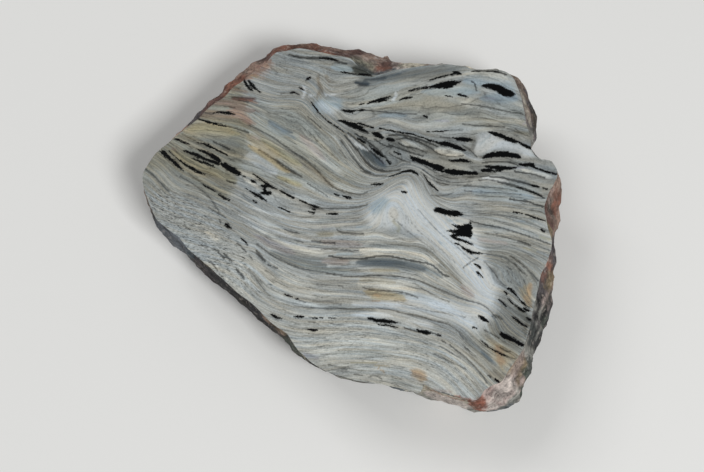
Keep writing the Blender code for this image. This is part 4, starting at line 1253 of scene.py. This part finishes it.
def thinned(points, spacing):
    """The points, in order, without any that crowds one before it."""
    kept, cells = [], {}
    for x, y in points:
        cell = (int(x // spacing), int(y // spacing))
        beside = [q for i in (-1, 0, 1) for j in (-1, 0, 1)
                  for q in cells.get((cell[0] + i, cell[1] + j), ())]
        if all((x - u) ** 2 + (y - v) ** 2 > spacing ** 2 for u, v in beside):
            cells.setdefault(cell, []).append((x, y))
            kept.append((x, y))
    return np.array(kept)


def flat_side(loop, spacing, spines=()):
    """Points inside a closed loop, and triangles that join them to it, facing up."""
    marks = [walked(path, SPINE_SPACING) for path in spines]
    points = thinned(np.concatenate((*marks, honeycomb(loop.min(0), loop.max(0), spacing))),
                     spacing * POINT_GAP)
    near, depth = depth_in_area(points, loop, 0)
    points = points[near[depth > spacing * OUTLINE_GAP]]
    flat = [Vector(p) for p in np.concatenate((loop, points))]
    outline = [(k, (k + 1) % len(loop)) for k in range(len(loop))]
    places, _, faces, sources, *_ = geometry.delaunay_2d_cdt(
        flat, outline, [list(range(len(loop)))], INSIDE_ONLY, SAME_POINT, True)
    back = np.array([source[0] if source else -1 for source in sources])
    assert back.min() >= 0 and len(places) == len(flat)
    faces = back[np.array(faces)]
    middles = np.array(flat, float)[faces].mean(1)
    rows, depth = depth_in_area(middles, loop, 0)
    return points, faces[np.sort(rows[depth > 0])]


rim_height, rim_columns = rim_rows.shape[:2]
rim_plan = to_plan(positions(rim_mesh))
spines = [path for path in lens_paths + line_paths if path[:, 2].max() < WIDEST_WITH_SPINE]
face_points, face_faces = flat_side(rim_plan[:rim_columns], FACE_SPACING, spines)
back_points, back_faces = flat_side(rim_plan[-rim_columns:], BACK_SPACING)
print(len(face_faces), "triangles on the face and", len(back_faces), "on the back")

# %% [markdown]
# ## One closed skin
#
# The face and the back share the points of the first and last rows of the rim. Nothing has
# to be stitched: the triangles of both sides are given those very points, so the skin is
# closed. Every face carries the number of its material: rim, face or back.

# %% Join the rim and both sides into one closed skin
RIM_SLOT, FACE_SLOT, BACK_SLOT = 0, 1, 2


def joined_skin():
    """One mesh from the rim's skin and the two flat sides, which share the rim's end rows."""
    low, high = np.array(cad_box)
    rim_points = np.clip(positions(rim_mesh), low + BOX_MARGIN, high - BOX_MARGIN)
    rim_points[:rim_columns, 2] = FACE_HEIGHT
    rim_points[-rim_columns:, 2] = 0
    points = np.concatenate((rim_points, to_scene(face_points), to_scene(back_points, 0)))
    back_start = len(rim_points) + len(face_points)
    faces = np.where(face_faces < rim_columns, face_faces,
                     face_faces - rim_columns + len(rim_points))
    backs = np.where(back_faces < rim_columns, back_faces + len(rim_points) - rim_columns,
                     back_faces - rim_columns + back_start)[:, ::-1]
    quads = [polygon.vertices[:] for polygon in rim_mesh.polygons]
    mesh = bpy.data.meshes.new("banded_block")
    mesh.from_pydata(points.tolist(), [], quads + faces.tolist() + backs.tolist())
    slots = np.repeat((RIM_SLOT, FACE_SLOT, BACK_SLOT), (len(quads), len(faces), len(backs)))
    mesh.polygons.foreach_set("material_index", slots.astype(np.int32))
    mesh.polygons.foreach_set("use_smooth", slots == RIM_SLOT)
    put_attribute(mesh, "hollow", np.append(hollow, np.zeros(len(points) - len(hollow))))
    return mesh


block_mesh = joined_skin()
bpy.data.meshes.remove(rim_mesh)
plan = to_plan(positions(block_mesh))
height, slope = read_plate(plate, plan)
steepness = np.linalg.norm(slope, axis=1)
put_attribute(block_mesh, "layer", height)
print(len(plan), "points; the plate's middle slope is", round(float(np.median(steepness)), 2))

# %% [markdown]
# ## Colours of the broken rim
#
# Weather has stained the rim in patches: rust-red and brown along the top, pinkish chalk at
# the lower corner, green-black where it lay damp. Two blue-grey spots on the lower-left wall
# are painted shadow. Each patch is given as spots with a depth below the face. Every rim
# point takes the colour of its nearest spots, and the distances are shaken by noise so that
# the patches meet along ragged lines.

# %% Patches of colour on the broken rim: x, y and depth below the face, in mm
RIM_PATCHES = {
    "brick": ((-66, 87, 4), (-38, 110, 4), (-18, 111, 4), (108, 24, 12), (102, -18, 8), (30, 98, 14),
        (64, -90, 8)),
    "dusk": ((3, 100, 5), (8, 96.5, 5), (10, 94, 12), (93, -52, 8)),
    "maroon": ((-76, 77, 4), (-46, 106, 5), (-10, 109, 6), (0, 108, 8), (20, 102, 8), (-25, 110, 12),
        (103, 12, 6)),
    "clay": ((-95, 58, 4), (12, 104, 8), (16, 106, 12), (111, 33, 8), (110, 15, 15), (-56, 96, 5),
        (101, -20, 14), (-40, -48, 4)),
    "bark": ((102, -23, 10), (105, 2, 8), (84, -70, 6)),
    "crust": ((92, 90, 8), (98, 74, 12), (-28, 112, 5), (5, 104, 5), (45, 101.5, 5), (78, 98.5, 5),
        (-110, 24, 10), (100, 60, 38), (-60, 90, 38), (106, 18, 10)),
    "mauve": ((-108, 42, 5), (-85, 68, 5), (105, -7, 10), (95, 80, 10), (99, 64, 12), (106, -1, 12),
        (99, -26, 6), (97, -46, 10), (95, -2, 14), (-80, -16, 12)),
    "umber": ((93, -58, 14), (-35, -53, 8), (-60, -34, 35), (0, -78, 35), (105, 0, 38), (0, 104, 38),
        (-100, 45, 35), (100, -34, 8)),
    "soot": ((97, 50, 10), (102, -34, 18), (97, -50, 18), (-50, -41, 8), (-68, -26, 8), (-56, -36, 14),
        (-42, -49, 10), (-20, -70, 6), (-78, -18, 10), (-109, 18, 12), (95, -50, 38), (94, -54, 6)),
    "moss": ((90, -70, 14), (88, -77, 16), (-32, -57, 10), (-10, -74, 5), (99, -42, 16)),
    # the first two slate spots are painted shadow on the lower-left wall
    "slate": ((-98, 3, 12), (-90, -5, 8), (20, -81, 10)),
    "ash": ((82, -81, 12), (55, 101, 4), (98, 55, 10), (103, 44, 8), (76, -92, 20), (98, -38, 6),
        (89, -64, 10), (0, -78, 6), (50, -85, 35), (92, -62, 6)),
    "flesh": ((82, -74, 8), (76, -84, 10), (68, -88, 5)),
    "chalk": ((28, 100, 4), (80, -78, 8), (73, -87, 8)),
    "sand": ((34, 100.5, 4), (66, 99, 4), (109, 41, 6), (55, -90, 6), (45, -88, 6), (36, -83, 5),
        (-28, -61, 3)),
    "rust": ((62, -89, 5), (65, -93, 14)),
}
PATCH_SHARPNESS = 4.5       # higher makes the patches meet more abruptly
PATCH_WANDER = 9.0          # mm that a point is moved at most before it is compared
PATCH_NOISE = 0.2           # turns of the noise in a millimetre
NOISE_SHIFT = 40            # a step to a part of the noise that looks different


def noise_at(points):
    """Smooth noise, -1 to 1, at an array of points."""
    return np.array([noise.noise(Vector(p)) for p in points])


def shaken(places, turns, count):
    """A few noise values for every place, with so many turns in a millimetre."""
    return np.column_stack([noise_at(places * turns + k * NOISE_SHIFT) for k in range(count)])


def patched_rim(places):
    """The colour of every place on the rim: the nearest patches, blended."""
    colours = [COLOURS[name] for name, spots in RIM_PATCHES.items() for _ in spots]
    spots = np.array([spot for spots in RIM_PATCHES.values() for spot in spots], float)
    moved = places + shaken(places, PATCH_NOISE, 3) * PATCH_WANDER
    gap = ((moved[:, None] - spots) ** 2).sum(2)
    weight = 1 / (gap + 1) ** PATCH_SHARPNESS
    return weight @ np.array(colours) / weight.sum(1)[:, None]


rim_count = rim_height * rim_columns
rim_deep = THICKNESS - positions(block_mesh)[:rim_count, 2] / MM
rim_places = np.column_stack((plan[:rim_count], rim_deep))
rim_colours = patched_rim(rim_places)
print(rim_count, "points of the rim took the colours of", len(RIM_PATCHES), "kinds of patch")

# %% [markdown]
# ## Streaks of the broken rim
#
# Over the patches come the streaks and crusts that can be told apart, and some light and
# shade: a painted shadow down the lower-left wall, painted shade in the cracks, and thin
# painted highlights along the ridges of the right rim, over pale streaks there. They are
# drawn on the plan, but the rim leans away below it, and a point that lies deep shows up
# nearer to the middle of the view. So each rim point is first carried to where the camera
# sees it on the plan, and the brush works with that place.

# %% Streaks on the broken rim: strength, width in mm, x and y of each point
RIM_STREAKS = {
    "maroon": (
        (0.7, 3, (15, 103, 20, 100.5, 27, 101)), (0.6, 2, (-50, 103, -42, 109)),
        (0.7, 2.5, (103.5, 24, 103, 17, 103.5, 12))),
    "brick": (
        (0.6, 2, (102.8, -15, 101.5, -19, 99.5, -23, 98.3, -26)), (0.7, 2, (10, 99, 16, 98.5, 22, 99)),
        (0.7, 3, (-44, 109.5, -30, 112, -14, 110.5)), (0.7, 2.5, (109, 27, 108, 18, 107, 12))),
    "clay": (
        (0.7, 1.5, (-18, 111.5, -10, 110.5, 0, 108.5)), (0.6, 1.5, (106.5, 28, 105, 22, 104, 18))),
    "bark": (
        (0.8, 4, (103.5, -20, 103, -25, 101.5, -28)), (0.7, 1.2, (-80, -12, -74, -17, -66, -24)),
        (0.7, 1.5, (-46, -43, -40, -48.5, -34, -54))),
    "mauve": (
        (0.9, 3, (98.5, -26, 98, -31, 100, -30)), (0.9, 3, (105.5, -2, 105.7, -7, 104.2, -12)),
        (0.7, 2, (98, -36, 96, -43, 94.5, -50))),
    "umber": (
        (0.9, 2.5, (98, 83, 99.3, 74, 99.8, 66, 98.5, 60)), (0.8, 2, (106, 23, 104.8, 18, 104.5, 14)),
        (0.8, 2.5, (-86, -11, -78, -18)), (0.8, 4, (-64, -29, -54, -38))),
    "soot": (
        (0.9, 3, (96, -50, 94, -55, 92.3, -60)), (0.9, 2.5, (-74, -20, -67, -26.5, -60, -32.5)),
        (0.8, 1.5, (-48, -44, -42, -49)), (0.8, 2, (102.5, -32, 102, -38, 99.5, -45)),
        (0.7, 3, (98.5, -35, 97, -40, 95.5, -45))),
    # painted shade: near-black in the cracks of the rim
    "cleft shade": (
        (1, 2, (98, -32.5, 96.6, -35.5, 95.6, -38)), (1, 2.4, (96.5, -40, 95.2, -43, 94, -46.5)),
        (0.9, 1.8, (100.8, -39, 98.5, -43, 97, -47.5)), (0.9, 1.6, (94.5, -50, 93, -54, 91.5, -58)),
        (0.6, 1, (-70, -23.5, -66, -27.5, -62, -31.5))),
    "moss": (
        (0.8, 2.5, (90.5, -67, 90.8, -72, 89, -77)), (0.8, 2, (-33, -55, -29, -60, -26, -64))),
    "ash": (
        # the first two, thin pale lines beside the cracks of the right rim, are partly pale stone and partly
        # painted highlights on the edges of its ridges
        (0.9, 1, (98.3, -38, 96.9, -42, 95.7, -46, 94.6, -50)),
        (0.7, 0.9, (97.4, -49, 95.4, -53, 93.4, -57.5)), (0.8, 3, (91.5, -61, 92.3, -67, 92, -72)),
        (0.6, 1, (-84, -9, -76, -15.5)), (0.7, 1.5, (-18, -71, -8, -75.5, 2, -78.5))),
    # painted shadow: a blue-grey band down the lower-left wall, where the stone's shadow falls
    "shade": (
        (0.9, 7, (-105, 8, -98, 1, -92, -4, -88, -9)),),
    "flesh": (
        # the first three, thin pale lines on the right rim, are partly pale stone and partly painted
        # highlights along its ridges
        (0.5, 1.2, (103.2, -29, 101, -33, 99, -37, 97.3, -41)),
        (0.6, 0.9, (101, -30, 99.5, -34, 98.3, -38)), (0.5, 0.9, (104, -33, 102, -38, 100, -42)),
        (0.7, 4, (87, -63, 85, -68, 83, -72, 81, -76)), (0.7, 1, (107.5, 27, 105.8, 22, 104.3, 18)),
        (0.5, 1, (-6, 108, 4, 105.5))),
    "chalk": (
        (0.6, 4, (80, -75, 77, -81, 75, -86)), (0.9, 5, (71, -86.5, 75, -88)),
        (1, 3.6, (37, -84, 44, -86.5, 52, -89, 59, -91.3)), (0.8, 2, (102, -11.5, 102.8, -13.5)),
        (0.7, 1, (101.5, -12, 100.8, -15, 100.3, -18)), (0.3, 1.3, (2, 106.5, 8, 104.3, 14, 102)),
        (0.5, 1, (12, 106, 16, 104.5, 19, 103)), (0.6, 1, (-22, 110.3, -8, 108.7))),
    "sand": (
        (0.5, 1.4, (92.3, 86, 94.3, 78, 96, 70, 97.3, 63)), (0.8, 2, (26, 100.4, 30, 100.6, 34, 100.4))),
    "block": (
        (0.9, 3, (-4, 105, 3, 103.3, 9, 101, 13, 98)),),
    "dusk": (
        (0.95, 5, (1, 101.5, 5, 98, 11, 95)), (0.8, 2.5, (94, -47, 92.5, -53, 91, -59)),
        (0.7, 2.5, (90.5, -66, 90.5, -72, 88, -78))),
    "rust": (
        (0.7, 3.4, (62, -88.5, 65, -90, 67, -91.5)), (0.6, 0.6, (37, -81.5, 45, -84.7, 52, -86.9, 60, -89))),
    "slate": (
        (0.8, 2, (68, -94, 75, -93, 81, -89.5)), (0.8, 1.6, (11, 94.5, 18, 96, 25, 98.6))),
}
print(sum(len(strokes) for strokes in RIM_STREAKS.values()), "streaks on the rim")

# %% [markdown]
# ## Paint
#
# Painting turns all those marks into numbers at every vertex: a colour for the face and for
# the rim, and the strength of the lines, the speckle and the black chert. Attributes like
# these move with the mesh and need no picture. How calm a point is says how milky it is,
# since milky chert hardly shows its layers. Points are compared with the coloured marks
# after they have been woven to and fro along the layers, which frays every edge the way
# the layers run.

# %% Brushes that blend
STROKE_END = 1.6            # half widths from a stroke's middle to where it has faded out
STROKE_FADE = 1.2           # half widths over which it fades
STROKE_MARGIN = 0.6         # widths beside a stroke in which points are looked at


def stroke_weight(places, path):
    """The places near a stroke, and its weight there: 1 in its middle, falling to 0."""
    rows, depth, half = depth_in_stroke(places, path, STROKE_MARGIN * path[:, 2].max())
    return rows, eased((STROKE_END - (half - depth) / half) / STROKE_FADE)


def area_weight(places, numbers, fade):
    """The places near an area, and its weight there: 1 inside, falling to 0 at its edge."""
    rows, depth = depth_in_area(places, smooth_path(in_points(numbers), closed=True), fade)
    return rows, eased(0.5 + depth / (2 * fade))


def streak_weights(places, streaks):
    """For each streak in a table: its colour, the places near it and its weight there."""
    for colour, strokes in streaks.items():
        for strength, width, numbers in strokes:
            rows, weight = stroke_weight(places, swollen(width, numbers))
            yield colour, rows, strength * weight


def blend(values, rows, target, weight):
    """Moves some rows of an array towards a colour or a number, each by its own weight."""
    values[rows] += (np.subtract(target, values[rows]).T * weight).T


def strongest(marks, least=0.0):
    """The highest value that any mark gives each point of the skin."""
    values = np.full(len(plan), least)
    for strength, (rows, weight, *_) in marks:
        values[rows] = np.maximum(values[rows], strength * weight)
    return values


def put_colours(mesh, name, colours):
    """Stores a colour at every vertex."""
    made = mesh.attributes.new(name, "FLOAT_COLOR", "POINT")
    rows = np.column_stack((colours, np.ones(len(colours))))
    made.data.foreach_set("color", rows.astype(np.float32).ravel())


print("a stroke 2 mm wide fades out", STROKE_END, "mm from its middle")

# %% Paint the rim
LENS_HEIGHT = (camera.location.z - FACE_HEIGHT) / MM    # mm above the face
RIM_WOBBLE = 0.8            # mm
RIM_NOISE = 0.5             # turns of the noise in a millimetre


def seen_from_the_camera(places):
    """Where places that lie deep below the face appear on it, seen from the camera."""
    flat, deep = places[:, :2], places[:, 2]
    eye = to_plan([camera.location])[0]
    return flat - (flat - eye) * (deep / (LENS_HEIGHT + deep))[:, None]


seen = seen_from_the_camera(rim_places)
wobble = shaken(np.column_stack((seen, rim_deep)), RIM_NOISE, 2) * RIM_WOBBLE
for colour, rows, weight in streak_weights(seen + wobble, RIM_STREAKS):
    blend(rim_colours, rows, COLOURS[colour], weight)
rim_tint = np.tile(COLOURS["crust"], (len(plan), 1))
rim_tint[:rim_count] = rim_colours
put_colours(block_mesh, "rim_tint", rim_tint)
print(f"painted {rim_count} points of the rim")

# %% Paint the face
WEAVE_REACH = 2.2           # mm that a point is moved at most along its layer
WEAVE_ALONG = 0.07          # turns of the noise in a millimetre of the plan
WEAVE_ACROSS = 0.9          # turns of the noise in one step up the pile
INK_REACH = 3.0             # mm round black chert in which its depth is kept
STREAK_CALM = 0.6           # how much of an area's calm a streak brings
CALM_COLOURS = ("white", "milky", "light blue", "blue", "slate")     # with faint layers


def woven_plan():
    """The plan points, moved to and fro along their layers."""
    along = np.column_stack((slope[:, 1], -slope[:, 0])) / steepness[:, None]
    weave = noise_at(np.column_stack((plan * WEAVE_ALONG, height * WEAVE_ACROSS)))
    return plan + along * (weave * WEAVE_REACH)[:, None]


def painted_face():
    """The colour of every point of the face, and how milky and so how calm it is."""
    woven = woven_plan()
    colours = np.tile(COLOURS["base"], (len(plan), 1))
    calm = np.zeros(len(plan))
    for colour, strength, fade, numbers in AREAS:
        rows, weight = area_weight(woven, numbers, fade)
        blend(colours, rows, COLOURS[colour], strength * weight)
        blend(calm, rows, colour in CALM_COLOURS, strength * weight)
    for colour, rows, weight in streak_weights(woven, STREAKS):
        blend(colours, rows, COLOURS[colour], weight)
        blend(calm, rows, colour in CALM_COLOURS, weight * STREAK_CALM)
    return colours, calm


face_colours, face_calm = painted_face()
ink = strongest(((1, depth_in_stroke(plan, path, INK_REACH)) for path in lens_paths),
                least=-INK_REACH)
lines = strongest((line[0], stroke_weight(plan, path)) for line, path in zip(LINES, line_paths))
speckle = strongest((most, area_weight(plan, numbers, fade)) for most, fade, numbers in SPECKLED)
put_colours(block_mesh, "face_tint", face_colours)
for name, values in (("calm", face_calm), ("ink", ink), ("line", lines), ("speckle", speckle)):
    put_attribute(block_mesh, name, values)
print(f"painted {len(plan)} points; {(ink > 0).mean():.0%} of them lie in black chert")

# %% [markdown]
# ## Building blocks for the materials
#
# A material is a small network of nodes that works out a colour for every point it shows.
# The vertices lie almost a millimetre apart, and the layers are finer than that, so the
# finest detail comes from noise here. Three kinds are used. Plain noise is the same in all
# directions. Layered noise takes the height in the pile as one of its coordinates and
# hardly moves along the other two, so it is drawn out into layers that follow every fold.
# Bedded noise is drawn out level, for the broken rim.

# %% Helpers for shader nodes
LAYERED = {     # turns in a mm along the layers, turns in a step across, detail, roughness, shift
    "broad": (0.012, 0.13, 1.0, 0.6, 4),
    "bands": (0.03, 0.42, 2.0, 0.6, 3),
    "fine": (0.07, 1.15, 3.0, 0.65, 0),
    "dashes": (0.55, 1.9, 1.0, 0.6, 6),
    "mottle": (0.4, 1.3, 3.0, 0.7, 20),
    "specks": (0.45, 1.7, 1.0, 0.6, 24),
    "hue": (0.03, 0.5, 2.0, 0.6, 12),
    "fray": (0.3, 1.5, 3.0, 0.6, 9),
    "in the rim": (0.05, 0.7, 3.0, 0.6, 0),
}
PLAIN = {       # size in mm, detail, roughness
    "grain": (0.9, 2.0, 0.6),
    "ragged": (0.8, 3.0, 0.6),
    "blotch": (5.0, 4.0, 0.7),
    "grit": (1.6, 4.0, 0.75),
    "pits": (1.1, 3.0, 0.6),
    "chalk": (3.2, 4.0, 0.7),
    "uneven": (22.0, 3.0, 0.6),
}
NOISE_SPANS = {     # the part of a noise's values that is used; a narrow one has hard edges
    "wide": (0.25, 0.75),
    "usual": (0.3, 0.7),
    "narrow": (0.36, 0.64),
    "hard": (0.38, 0.62),
}
BED_LENGTH, BED_HEIGHT = 9.0, 2.6   # mm


def attribute(tree, name, output="Fac"):
    """A number that the skin carries; from the output "Color", a colour."""
    return add(tree, "ShaderNodeAttribute", attribute_name=name).outputs[output]


def place_on_stone(tree):
    """Object coordinates: the place on the stone itself, in metres."""
    return add(tree, "ShaderNodeTexCoord").outputs["Object"]


def mix(tree, factor, a, b, blend_type="MIX"):
    """Blends two colours; each is a node's output or three numbers."""
    colours = [(*c, 1) if isinstance(c, tuple) else c for c in (a, b)]
    return add(tree, "ShaderNodeMix", {0: factor, 6: colours[0], 7: colours[1]},
               data_type="RGBA", blend_type=blend_type).outputs[2]


def toned(tree, colour, tone):
    """A colour made brighter or darker by a tone round 1."""
    grey = add(tree, "ShaderNodeCombineColor", {0: tone, 1: tone, 2: tone}).outputs[0]
    return mix(tree, 1.0, colour, grey, "MULTIPLY")


def ranged(tree, value, low, high, to_low=0.0, to_high=1.0, kind="LINEAR"):
    """A value carried from one range to another, and held at its ends."""
    return add(tree, "ShaderNodeMapRange", {
        "Value": value, "From Min": low, "From Max": high, "To Min": to_low,
        "To Max": to_high}, interpolation_type=kind).outputs["Result"]


def swung(tree, value, swing, span="usual", middle=0.0):
    """Noise stretched from a span of its values to a swing on both sides of a middle."""
    return ranged(tree, value, *NOISE_SPANS[span], middle - swing, middle + swing)


def layered_noise(tree, name):
    """Noise that is drawn out into layers which follow the folds."""
    along, across, detail, rough, shift = LAYERED[name]
    place = parts_of(tree, place_on_stone(tree))
    folded = vector_of(tree, maths(tree, "MULTIPLY_ADD", place["X"], along / MM, shift),
                       times(tree, place["Y"], along / MM),
                       times(tree, attribute(tree, "layer"), across))
    return noise_texture(tree, folded, 1.0, detail, {"Roughness": rough})[0]


def plain_noise(tree, name):
    """Noise that is the same in all directions."""
    size, detail, rough = PLAIN[name]
    return noise_texture(tree, place_on_stone(tree), 1 / (size * MM), detail,
                         {"Roughness": rough})[0]


def bedded_noise(tree):
    """Noise that is stretched round the block, so that it lies in rough level beds."""
    turns = (1 / (BED_LENGTH * MM), 1 / (BED_LENGTH * MM), 1 / (BED_HEIGHT * MM))
    beds = vector_maths(tree, "MULTIPLY", place_on_stone(tree), turns)
    return noise_texture(tree, beds, 1.0, 4.0, {"Roughness": 0.6, "Distortion": 1.0})[0]


def hairlines(tree, value, width, darkness):
    """Thin dark contour lines where noise passes its middle value."""
    gap = maths(tree, "ABSOLUTE", maths(tree, "SUBTRACT", value, 0.5))
    return times(tree, ranged(tree, gap, 0.0, width, 1.0, 0.0, "SMOOTHSTEP"), -darkness)


def bumped(tree, height, strength, reach):
    """The normal of a surface that a pattern raises a little."""
    return add(tree, "ShaderNodeBump", {"Height": height, "Strength": strength,
                                        "Distance": reach}).outputs[0]


def set_looks(tree, shader, colour, normal=None):
    """Joins a colour and a normal to a shader."""
    tree.links.new(colour, shader.inputs["Base Color"])
    if normal:
        tree.links.new(normal, shader.inputs["Normal"])


print(len(LAYERED), "layered and", len(PLAIN), "plain patterns")

# %% [markdown]
# ## Polished chert
#
# On the real slab the layers are a fraction of a millimetre thick, light where they are pure
# and dark where dead microbes left carbon. Four sizes of layered noise are added up for
# them: broad, banded, fine and broken into dashes, with hairlines where the noise passes
# its middle value. The sum brightens or darkens the painted colour. Calm chert damps it,
# speckled chert swaps it for grains, and a drawn line darkens it. The black chert comes
# last: its depth is shaken by noise before it is cut off, so that its edges are ragged. A
# polish that has worn a little gives a soft gleam: roughness 0.2 and a weak highlight.

# %% Build the polished face
CHERT_BLACK = linear(6, 7, 8)
COOL_LAYER = (0.94, 1.0, 1.06)
WARM_LAYER = (1.055, 1.005, 0.925)
WORN_POLISH = {"Roughness": 0.2, "Specular IOR Level": 0.14}
SWINGS = {"fine": 0.28, "bands": 0.26, "dashes": 0.18}      # how much each brightens or darkens
BAND_HAIRLINE = (0.035, 0.34)           # width in the noise's values, and darkness
FINE_HAIRLINE = (0.02, 0.2)
BLACK_SPECKS = (0.6, 0.68, 0.0, -0.7)   # from and to in the noise, from and to in brightness
PALE_SPECKS = (0.4, 0.32, 0.0, 0.3)
LINE_SPAN = (0.0, 0.55)     # the drawn darkness over which a line appears
HUE_SPAN = (0.35, 0.65)     # the part of the hue noise from cool to warm
UNDER_GRAINS = 0.45         # what is left of the layers where the chert is speckled
UNDER_CALM = 0.22           # what is left of them in milky chert
UNDER_LINES = 0.26          # how bright a dark line is
INK_EDGE = 0.4              # mm over which black chert begins


def laminae(tree, speckle):
    """The layers as light and dark: bands, fine layers, dashes and hairlines."""
    noises = {name: layered_noise(tree, name) for name in SWINGS}
    layers = summed(tree, *(swung(tree, noises[name], swing) for name, swing in SWINGS.items()),
                    hairlines(tree, noises["bands"], *BAND_HAIRLINE),
                    hairlines(tree, noises["fine"], *FINE_HAIRLINE))
    return times(tree, layers, ranged(tree, speckle, 0, 1, 1, UNDER_GRAINS)), noises["dashes"]


def grains(tree):
    """Broken-up layers: pale and dark grains with a few black specks."""
    specks = layered_noise(tree, "specks")
    return summed(tree, swung(tree, layered_noise(tree, "mottle"), 0.3, "narrow"),
                  ranged(tree, specks, *BLACK_SPECKS), ranged(tree, specks, *PALE_SPECKS))


def face_tone(tree):
    """How bright each point of the face is, round 1."""
    speckle = attribute(tree, "speckle")
    layers, dashes = laminae(tree, speckle)
    layers = summed(tree, layers, swung(tree, plain_noise(tree, "grain"), 0.13))
    layers = times(tree, layers, ranged(tree, attribute(tree, "calm"), 0, 1, 1, UNDER_CALM))
    tone = summed(tree, layers, swung(tree, layered_noise(tree, "broad"), 0.1, middle=1.04),
                  times(tree, grains(tree), speckle))
    broken = summed(tree, attribute(tree, "line"), swung(tree, dashes, 0.2))
    return times(tree, tone, ranged(tree, broken, *LINE_SPAN, 1.0, UNDER_LINES))


def black_chert(tree):
    """1 in black chert and 0 outside, with a ragged edge."""
    ink = summed(tree, attribute(tree, "ink"),
                 swung(tree, layered_noise(tree, "fray"), 0.5, "wide"),
                 swung(tree, plain_noise(tree, "ragged"), 0.45, "wide"))
    return ranged(tree, ink, -INK_EDGE, INK_EDGE, kind="SMOOTHSTEP")


def polished_chert():
    """The polished face: painted chert with its layers, lines and black lenses."""
    material, tree, shader = new_material("polished_chert", WORN_POLISH)
    hue = ranged(tree, layered_noise(tree, "hue"), *HUE_SPAN)
    tint = mix(tree, 1.0, attribute(tree, "face_tint", "Color"),
               mix(tree, hue, COOL_LAYER, WARM_LAYER), "MULTIPLY")
    stone = toned(tree, tint, face_tone(tree))
    set_looks(tree, shader, mix(tree, black_chert(tree), stone, CHERT_BLACK))
    return material


polished = polished_chert()
print(len(polished.node_tree.nodes), "nodes in the polished chert")

# %% [markdown]
# ## Broken and weathered rock
#
# The rim starts from its painted colour too. Blotches, grit, level beds and small pits change
# its brightness, and chalky specks lie on top. The relief left its depth at every point, so
# hollows are darkened with painted shade and dirt, and ridges are lightened. The surface is
# dull, and a bump gives the grit an uneven feel that the mesh is too coarse for.

# %% Build the broken rim's finish
CHALK_SPECKS = linear(176, 166, 156)
CHALK_SPAN = (0.57, 0.66)               # the part of the noise over which they begin
CHALK_COVER = 0.4                       # how much of the stone they hide
PITS = (0.6, 0.66, 0.0, -0.4)           # from and to in the noise, from and to in brightness
# painted shade and dirt: hollows darker, ridges lighter
HOLLOW_SHADE_AND_DIRT = (-1.0, 1.4, 1.25, 0.5)    # from and to in mm of depth, from and to in brightness
GRIT_RELIEF = 0.9 * MM


def rim_tone(tree, grit):
    """How bright each point of the rim is, round 1: weathered, pitted, with painted shade and dirt in
    hollows.
    """
    tone = summed(tree, swung(tree, plain_noise(tree, "blotch"), 0.25, "hard", middle=1.0),
                  swung(tree, grit, 0.24, "hard"),
                  swung(tree, layered_noise(tree, "in the rim"), 0.06),
                  swung(tree, bedded_noise(tree), 0.3, "narrow"),
                  ranged(tree, plain_noise(tree, "pits"), *PITS))
    return times(tree, tone, ranged(tree, attribute(tree, "hollow"), *HOLLOW_SHADE_AND_DIRT))


def finish_rim(tree, shader):
    """Broken and weathered rock: painted patches under grit, beds, pits and chalky specks."""
    grit = plain_noise(tree, "grit")
    stone = toned(tree, attribute(tree, "rim_tint", "Color"), rim_tone(tree, grit))
    chalky = ranged(tree, plain_noise(tree, "chalk"), *CHALK_SPAN)
    colour = mix(tree, times(tree, chalky, CHALK_COVER), stone, CHALK_SPECKS)
    set_looks(tree, shader, colour, bumped(tree, grit, 1.0, GRIT_RELIEF))


finish_rim(rim_nodes, rim_shader)
print(len(rim_nodes.nodes), "nodes in the broken rock")

# %% [markdown]
# ## The sawn back
#
# The back was cut with a round saw and never polished. The blade leaves faint arcs round its
# own middle, which lies well outside the stone: a Wave texture in rings, measured from that
# point, draws them. The layers still show, but dull and dusty.

# %% Build the sawn back and hand out the materials
BLADE_CENTRE = (-0.05, -0.19, 0.0)     # the middle of the saw that cut the back, in metres
ARC_SPACING = 2.4                      # mm between two arcs of the saw
WAVE_RINGS = 0.314                     # one ring of a Wave texture at scale 1, in metres
DUST = linear(168, 164, 152)
DUST_COVER = 0.6                       # how much of the stone's colour the dust hides
DULL_CUT = {"Roughness": 0.7}
BACK_SPECKLE = 0.3                     # how broken up the layers look all over the back
ARC_RELIEF = 0.15 * MM


def saw_arcs(tree):
    """The faint arcs that the blade left, round its own middle."""
    from_blade = vector_maths(tree, "SUBTRACT", place_on_stone(tree), BLADE_CENTRE)
    return add(tree, "ShaderNodeTexWave", {
        "Vector": from_blade, "Scale": WAVE_RINGS / (ARC_SPACING * MM), "Distortion": 1.2,
        "Detail": 3.0, "Detail Scale": 0.6}, wave_type="RINGS",
        rings_direction="SPHERICAL").outputs["Fac"]


def sawn_back():
    """The other cut, left as the saw left it: dull, dusty layers under the blade's arcs."""
    material, tree, shader = new_material("sawn_back", DULL_CUT)
    arcs = saw_arcs(tree)
    layers = laminae(tree, BACK_SPECKLE)[0]
    tone = summed(tree, maths(tree, "MULTIPLY_ADD", layers, 0.5, 1.0),
                  swung(tree, plain_noise(tree, "uneven"), 0.12),
                  ranged(tree, arcs, 0, 1, -0.05, 0.05))
    dusty = mix(tree, DUST_COVER, attribute(tree, "face_tint", "Color"), DUST)
    set_looks(tree, shader, toned(tree, dusty, tone), bumped(tree, arcs, 0.6, ARC_RELIEF))
    return material


for material in (rim_stone, polished, sawn_back()):
    block_mesh.materials.append(material)
print("materials:", [material.name for material in block_mesh.materials])

# %% [markdown]
# ## The finished piece
#
# The skin becomes one object, at the origin and unturned, because its points are already in
# the frame's own place. It rides on the root body and stands in for the CAD piece.

# %% Put the piece on its body
block = put_in_scene("banded_block", block_mesh)
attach(block, "root")
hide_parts("stromatolite")
